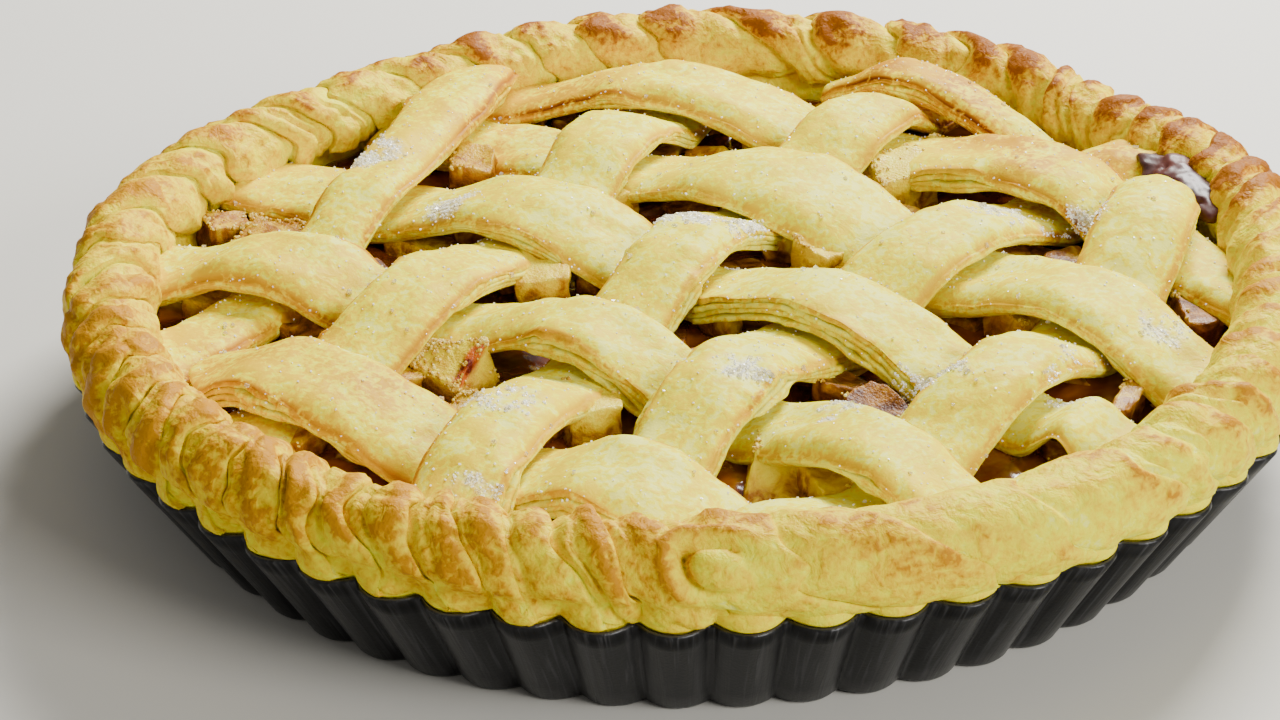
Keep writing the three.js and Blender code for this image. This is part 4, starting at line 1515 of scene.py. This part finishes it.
# %% Copy models into one mesh
def scatter(name, models, places):
    """Joins copies of the models, each with its own matrix and tone, into one piece."""
    corners, faces, tones = [], [], []
    for kind, matrix, tone in places:
        model = models[kind].data
        first = len(corners)
        corners.extend(matrix @ vertex.co for vertex in model.vertices)
        faces.extend([first + index for index in face.vertices] for face in model.polygons)
        tones.extend([tone] * len(model.vertices))
    mesh = bpy.data.meshes.new(name)
    mesh.from_pydata([tuple(corner) for corner in corners], [], faces)
    keep_masks(mesh, {"tone": tones})
    piece = bpy.data.objects.new(name, mesh)
    bpy.context.collection.objects.link(piece)
    return piece


def placed(x, y, z, size, turns):
    """A matrix for one copy, from millimetres and degrees."""
    spot = Vector((x, y, z)) + Vector(PIE_MIDDLE)
    turn = Euler([math.radians(each) for each in turns]).to_matrix().to_4x4()
    scale = Matrix.Diagonal((*[each * MM for each in size], 1))
    return Matrix.Translation(spot * MM) @ turn @ scale


print("a copy's place in metres:", placed(0, 0, 30, (1, 1, 1), (0, 0, 0)).translation[:])


# %% [markdown]
# The chunks that show through the lattice are placed one by one, window by window. The rest of the
# heap fills the pie by a seeded draw, and each chunk is kept low enough to stay under the strips
# above it.

# %% Chunks that show: kind, x, y, top, size, turns, tone
# The tone is how deeply a chunk soaked; for chunks deep in shade under the strips it is raised as
# painted shade.
WINDOW_CHUNKS = (
    (0, -66, -40, 32.0, (12, 12, 14), (0, 8, 20), 0.55),
    (0, -49, -53, 29.5, (13, 13, 12), (10, -6, 48), 0.4),
    (0, -34, 5, 34.6, (14, 15, 18), (4, 0, 2), 0.5),
    (2, -43, 16, 32.5, (12, 14, 12), (-8, 10, 35), 0.5),
    (2, 30, -78, 31.0, (12, 12, 10), (4, 4, 24), 0.45),
    (0, 25, -87, 31.5, (11, 12, 12), (0, 8, 30), 0.35),
    (3, 38, -60, 33.0, (15, 18, 14), (6, -8, 24), 1.2),
    (3, 30, -48, 31.5, (14, 12, 12), (0, 12, 60), 1.1),
    (1, 5, -12, 34.0, (16, 17, 16), (0, -10, 38), 0.55),
    (3, 30, 14, 34.2, (15, 14, 16), (6, 6, 40), 0.55),
    (2, 23, 27, 32.0, (13, 14, 12), (0, -10, 10), 0.5),
    (0, -23, -58, 34.5, (13, 16, 15), (-4, 6, 10), 0.3),
    (1, 90, -58, 32.5, (15, 14, 13), (4, 8, -30), 0.8),
    (0, 77, -73, 29.0, (15, 12, 12), (0, -6, 20), 0.7),
    (0, 72, -18, 33.0, (12, 14, 14), (0, 5, 44), 0.6),
    (0, 53, 57, 36.0, (17, 16, 17), (5, -5, 20), 0.25),
    (2, 64, 70, 33.0, (13, 15, 12), (-6, 8, -20), 0.45),
    (3, -53, 68, 34.2, (15, 15, 17), (3, 4, -12), 0.8),
    (0, -64, 84, 33.0, (14, 14, 14), (0, -8, 30), 0.55),
    (0, -99, 31, 32.6, (18, 13, 15), (6, 0, -10), 0.85),
    (2, -112, 38, 31.6, (12, 13, 12), (0, 8, 30), 0.8),
    (0, -98, -5, 32.0, (16, 11, 12), (0, 4, 15), 0.6),
    (0, -84, -66, 32.5, (15, 13, 13), (4, -8, -30), 0.7),
    (0, -19, 50, 33.5, (13, 13, 14), (0, 6, 25), 0.45),
    (1, 92, 30, 32.5, (14, 13, 13), (0, 6, -35), 0.85),
    (0, 112, -18, 31.5, (10, 14, 12), (0, 8, 12), 0.95),
    (2, 5, 103, 34.0, (14, 14, 13), (0, 5, 10), 0.55),
    (0, 20, 98, 33.0, (13, 13, 14), (6, 0, 45), 0.5),
)
print("chunks that show:", len(WINDOW_CHUNKS) + len(cut_chunks))

# %% The heap, kept under the strips
HEAP_SPACING = 12.5
HEAP_RADIUS = 112.0
HEAP_TRIES = 6000
OPEN_ROOF = 34.0
UNDER_STRIP = 1.8
BARE_SYRUP = [(12, -99), (2, -84), (48, -60)]


def roof_over(x, y, reach):
    """Underside of the lowest strip above a spot, or the open height between strips."""
    roof = OPEN_ROOF
    for strip in strips.values():
        along = strip.along @ (x, y)
        aside = abs(strip.across @ (x, y) - strip.middle(along))
        if aside < float(strip.width(along)) / 2 + reach:
            roof = min(roof, float(height_at(strip.marks, along)) - STRIP_THICKNESS - UNDER_STRIP)
    return roof


def window_places():
    return [
        (kind, placed(x, y, top - size[2] / 2, size, turns), tone)
        for kind, x, y, top, size, turns, tone in WINDOW_CHUNKS
    ]


def heap_places():
    draw = random.Random(5)
    places = []
    taken = [(x, y) for _, x, y, *_ in WINDOW_CHUNKS]
    taken += [tuple(np.mean(corners, axis=0)[:2]) for corners in CUT_CHUNKS.values()]
    taken += BARE_SYRUP
    for _ in range(HEAP_TRIES):
        radius = HEAP_RADIUS * math.sqrt(draw.random())
        angle = draw.random() * 2 * math.pi
        x, y = radius * math.cos(angle), radius * math.sin(angle)
        if min(math.hypot(x - other[0], y - other[1]) for other in taken) < HEAP_SPACING:
            continue
        taken.append((x, y))
        size = [draw.uniform(12, 17), draw.uniform(12, 17), draw.uniform(11, 15)]
        top = min(roof_over(x, y, 5), draw.uniform(27, 33))
        turns = (draw.uniform(-14, 14), draw.uniform(-14, 14), draw.uniform(0, 360))
        tone = draw.uniform(0.2, 0.9)
        places.append((draw.randrange(4), placed(x, y, top - size[2] / 2, size, turns), tone))
    return places


print("roof over the middle:", round(roof_over(0, 0, 5), 1), "mm")


# %% Lay the chunks out and smooth them
def smooth(piece):
    bpy.ops.object.select_all(action="DESELECT")
    piece.select_set(True)
    bpy.context.view_layer.objects.active = piece
    bpy.ops.object.shade_smooth()


apples = [
    scatter("apple_chunks", fine_chunks, window_places()),
    scatter("apple_heap", plain_chunks, heap_places()),
    *cut_chunks,
]
for piece in apples:
    smooth(piece)
for model in fine_chunks + plain_chunks:
    bpy.data.objects.remove(model)
print("faces of the heap:", len(apples[1].data.polygons))

# %% [markdown]
# Cooked apple is pale yellow flesh, soaked amber where it sat in the syrup. The colour follows
# each copy's own tone and its height in the heap, and a little light passes under the surface.
# For chunks deep under the strips the tone also carries painted shade.

# %% Apple flesh
SOAKED_STOPS = [
    (0.0, paint(244, 232, 56)),
    (0.25, paint(238, 214, 4)),
    (0.5, paint(220, 180, 0)),
    (0.75, paint(166, 106, 0)),
    (1.0, paint(90, 40, 0)),
]
SKIN_STOPS = [(0.42, paint(104, 22, 0)), (0.56, paint(206, 98, 0))]
SUNK_HEIGHTS = {"From Min": 0.034, "From Max": 0.026}
WET_FLESH = {
    "Roughness": 0.42,
    "Coat Weight": 0.06,
    "Specular IOR Level": 0.25,
    "Subsurface Weight": 0.15,
    "Subsurface Radius": (1.0, 0.85, 0.3),
    "Subsurface Scale": 2.0 * MM,
}


def apple_flesh():
    material, tree, shader = new_material("apple_flesh", WET_FLESH)
    times, plus = sums_in(tree)
    place = place_on(tree)
    height = add_node(tree, "ShaderNodeSeparateXYZ", {"Vector": place}).outputs["Z"]
    sunk = add_node(tree, "ShaderNodeMapRange", {"Value": height, **SUNK_HEIGHTS})
    stain = noise_on(tree, place, 4.5, 6, 1.0)
    soaked = plus(times(mask_on(tree, "tone"), 0.65), times(sunk.outputs["Result"], 0.5))
    stained = times(sum_node(tree, "SUBTRACT", stain, 0.46), 1.3)
    colour = colour_ramp(tree, plus(soaked, stained, clamp=True), SOAKED_STOPS)
    skin = colour_ramp(tree, stain, SKIN_STOPS)
    colour = blend_colours(tree, mask_on(tree, "skin"), colour, skin)
    feed(tree, colour, shader.inputs["Base Color"])
    fibre = noise_on(tree, place, 0.7, 5)
    feed(tree, bump_with(tree, fibre, 0.8, 0.5), shader.inputs["Normal"])
    return material


flesh = apple_flesh()
for piece in apples:
    piece.data.materials.append(flesh)
    settle(piece, "filling")

# %% [markdown]
# ## Crumbs and sugar
#
# Crumbs of crust and brown sugar stick to the fruit, and coarse sugar was strewn over the
# lattice, where it partly melted. Both are small pieces copied onto real points of the surfaces
# they lie on. Points are drawn at random, more often where a weight is high, such as inside the
# frosted patches.

# %% Draw spots on a surface
SPOT_JITTER = 0.4


def surface_spots(pieces, weigh, count, seed):
    """Places and normals of "count" points of the pieces, drawn by weigh(place, normal)."""
    places = np.concatenate([read_vectors(piece.data.vertices) for piece in pieces])
    normals = [read_vectors(piece.data.vertex_normals, "vector") for piece in pieces]
    normals = np.concatenate(normals)
    weight = weigh(places / MM - PIE_MIDDLE, normals)
    chooser = np.random.default_rng(seed)
    chosen = chooser.choice(len(places), size=count, p=weight / weight.sum())
    jitter = chooser.uniform(-SPOT_JITTER, SPOT_JITTER, (count, 3)) * MM
    upright = normals[chosen]
    jitter = jitter - upright * (jitter * upright).sum(axis=1, keepdims=True)
    return places[chosen] + jitter, upright


def strewn(spots, normals, sizes, sink, seed):
    """A matrix for one small piece on each spot, sunk by a share of its size."""
    draw = random.Random(seed)
    copies = []
    for spot, normal in zip(spots, normals):
        size = draw.uniform(*sizes) * MM
        scale = [size * draw.uniform(0.75, 1.15) for _ in range(3)]
        turn = Euler([draw.uniform(0, 6.3) for _ in range(3)]).to_matrix().to_4x4()
        place = Vector(spot) + Vector(normal) * size * (0.5 - sink)
        matrix = Matrix.Translation(place) @ turn @ Matrix.Diagonal((*scale, 1))
        copies.append((0, matrix, draw.random()))
    return copies


lattice_points = sum(len(piece.data.vertices) for piece in strip_pieces)
print("points on the lattice that sugar may lie on:", lattice_points)


# %% Crumbs on the fruit
CRUMB_COUNT = 3600


def model_crumb():
    piece = add_piece(
        "crumb_model", bpy.ops.mesh.primitive_ico_sphere_add, subdivisions=1, radius=0.5
    )
    for vertex in piece.data.vertices:
        vertex.co *= 1 + 0.3 * float(rumple(*(np.array(vertex.co) * 4), seed=81))
    return piece


CRUMBLED = (
    (-48, -53, 7), (-57, -32, 6), (3, -22, 6), (28, 20, 6), (-30, 12, 5), (-100, 30, 9),
    (72, -18, 6), (-3, -30, 6), (50, 52, 8),
)


def on_fruit(place, normal):
    x, y, z = place.T
    clump = 0.25 * ramp(0.1, 0.6, rumple(x / 6, y / 6, seed=82)) + spotted(CRUMBLED, x, y)
    return ramp(0.2, 0.8, normal[:, 2]) * ramp(25, 28, z) * clump + 1e-6


def toned_look(name, stops, numbers):
    """A material for small scattered pieces, each with a tone of its own."""
    material, tree, shader = new_material(name, numbers)
    feed(tree, colour_ramp(tree, mask_on(tree, "tone"), stops), shader.inputs["Base Color"])
    return material, tree, shader


CRUMB_STOPS = [(0.0, paint(190, 142, 20)), (0.6, paint(230, 198, 60)), (1.0, paint(246, 234, 140))]


def crumb_finish():
    material, tree, shader = toned_look("crumb", CRUMB_STOPS, {"Roughness": 0.45})
    grain = noise_on(tree, place_on(tree), 0.3, 2)
    feed(tree, bump_with(tree, grain, 0.5, 0.1), shader.inputs["Normal"])
    return material


crumb = model_crumb()
crumb_spots = surface_spots([apples[0], *cut_chunks], on_fruit, CRUMB_COUNT, 6)
crumbs = scatter("crumbs", [crumb], strewn(*crumb_spots, (0.5, 1.0), 0.3, 7))
bpy.data.objects.remove(crumb)
crumbs.data.materials.append(crumb_finish())
settle(crumbs, "filling")

# %% Sugar on the lattice
SUGAR_COUNT = 7000
CLEAR_COUNT = 420


def on_lattice(place, normal):
    frost = frost_at(place[:, 0], place[:, 1])
    return ramp(0.45, 0.9, normal[:, 2]) * (0.012 + frost)


def model_crystal():
    piece = add_piece("crystal_model", bpy.ops.mesh.primitive_cube_add, size=1)
    draw_in_top(piece, (0.7, 0.8, 1), (0.3, 0.3, 0.25), (1, 1, 0.8))
    bpy.ops.object.mode_set(mode="OBJECT")
    return piece


crystal = model_crystal()
sugar_spots = surface_spots(strip_pieces, on_lattice, SUGAR_COUNT, 8)
sugar = scatter("sugar", [crystal], strewn(*sugar_spots, (0.22, 0.5), 0.3, 9))
clear_spots = surface_spots(strip_pieces, on_lattice, CLEAR_COUNT, 10)
clear_sugar = scatter("sugar_crystals", [crystal], strewn(*clear_spots, (0.6, 1.15), 0.35, 11))
bpy.data.objects.remove(crystal)
print("grains of sugar:", SUGAR_COUNT, "and clear crystals:", CLEAR_COUNT)

# %% What sugar looks like: fine grains are milky, coarse crystals are clear, and both glow faintly: painted light
GRAIN_STOPS = [(0.0, paint(250, 244, 214)), (1.0, paint(255, 255, 250))]
GRAIN_LOOK_WITH_PAINTED_GLOW = {
    "Roughness": 0.15,
    "Subsurface Weight": 0.5,
    "Subsurface Radius": (1.0, 1.0, 0.9),
    "Subsurface Scale": 0.5 * MM,
    # A faint glow with no lamp behind it: painted light that brightens the grains.
    "Emission Color": (1.0, 0.99, 0.93, 1.0),
    "Emission Strength": 0.18,
}
CRYSTAL_STOPS = [(0.0, paint(250, 240, 196)), (1.0, paint(255, 253, 240))]
CRYSTAL_LOOK_WITH_PAINTED_GLOW = {
    "Roughness": 0.06,
    "IOR": 1.5,
    "Transmission Weight": 0.75,
    # A fainter glow, also painted light, on the clear crystals.
    "Emission Color": (1.0, 0.99, 0.93, 1.0),
    "Emission Strength": 0.06,
}
sugar.data.materials.append(toned_look("sugar_grain", GRAIN_STOPS, GRAIN_LOOK_WITH_PAINTED_GLOW)[0])
clear_sugar.data.materials.append(toned_look("sugar_glass", CRYSTAL_STOPS, CRYSTAL_LOOK_WITH_PAINTED_GLOW)[0])
for piece in (sugar, clear_sugar):
    settle(piece, "strip")
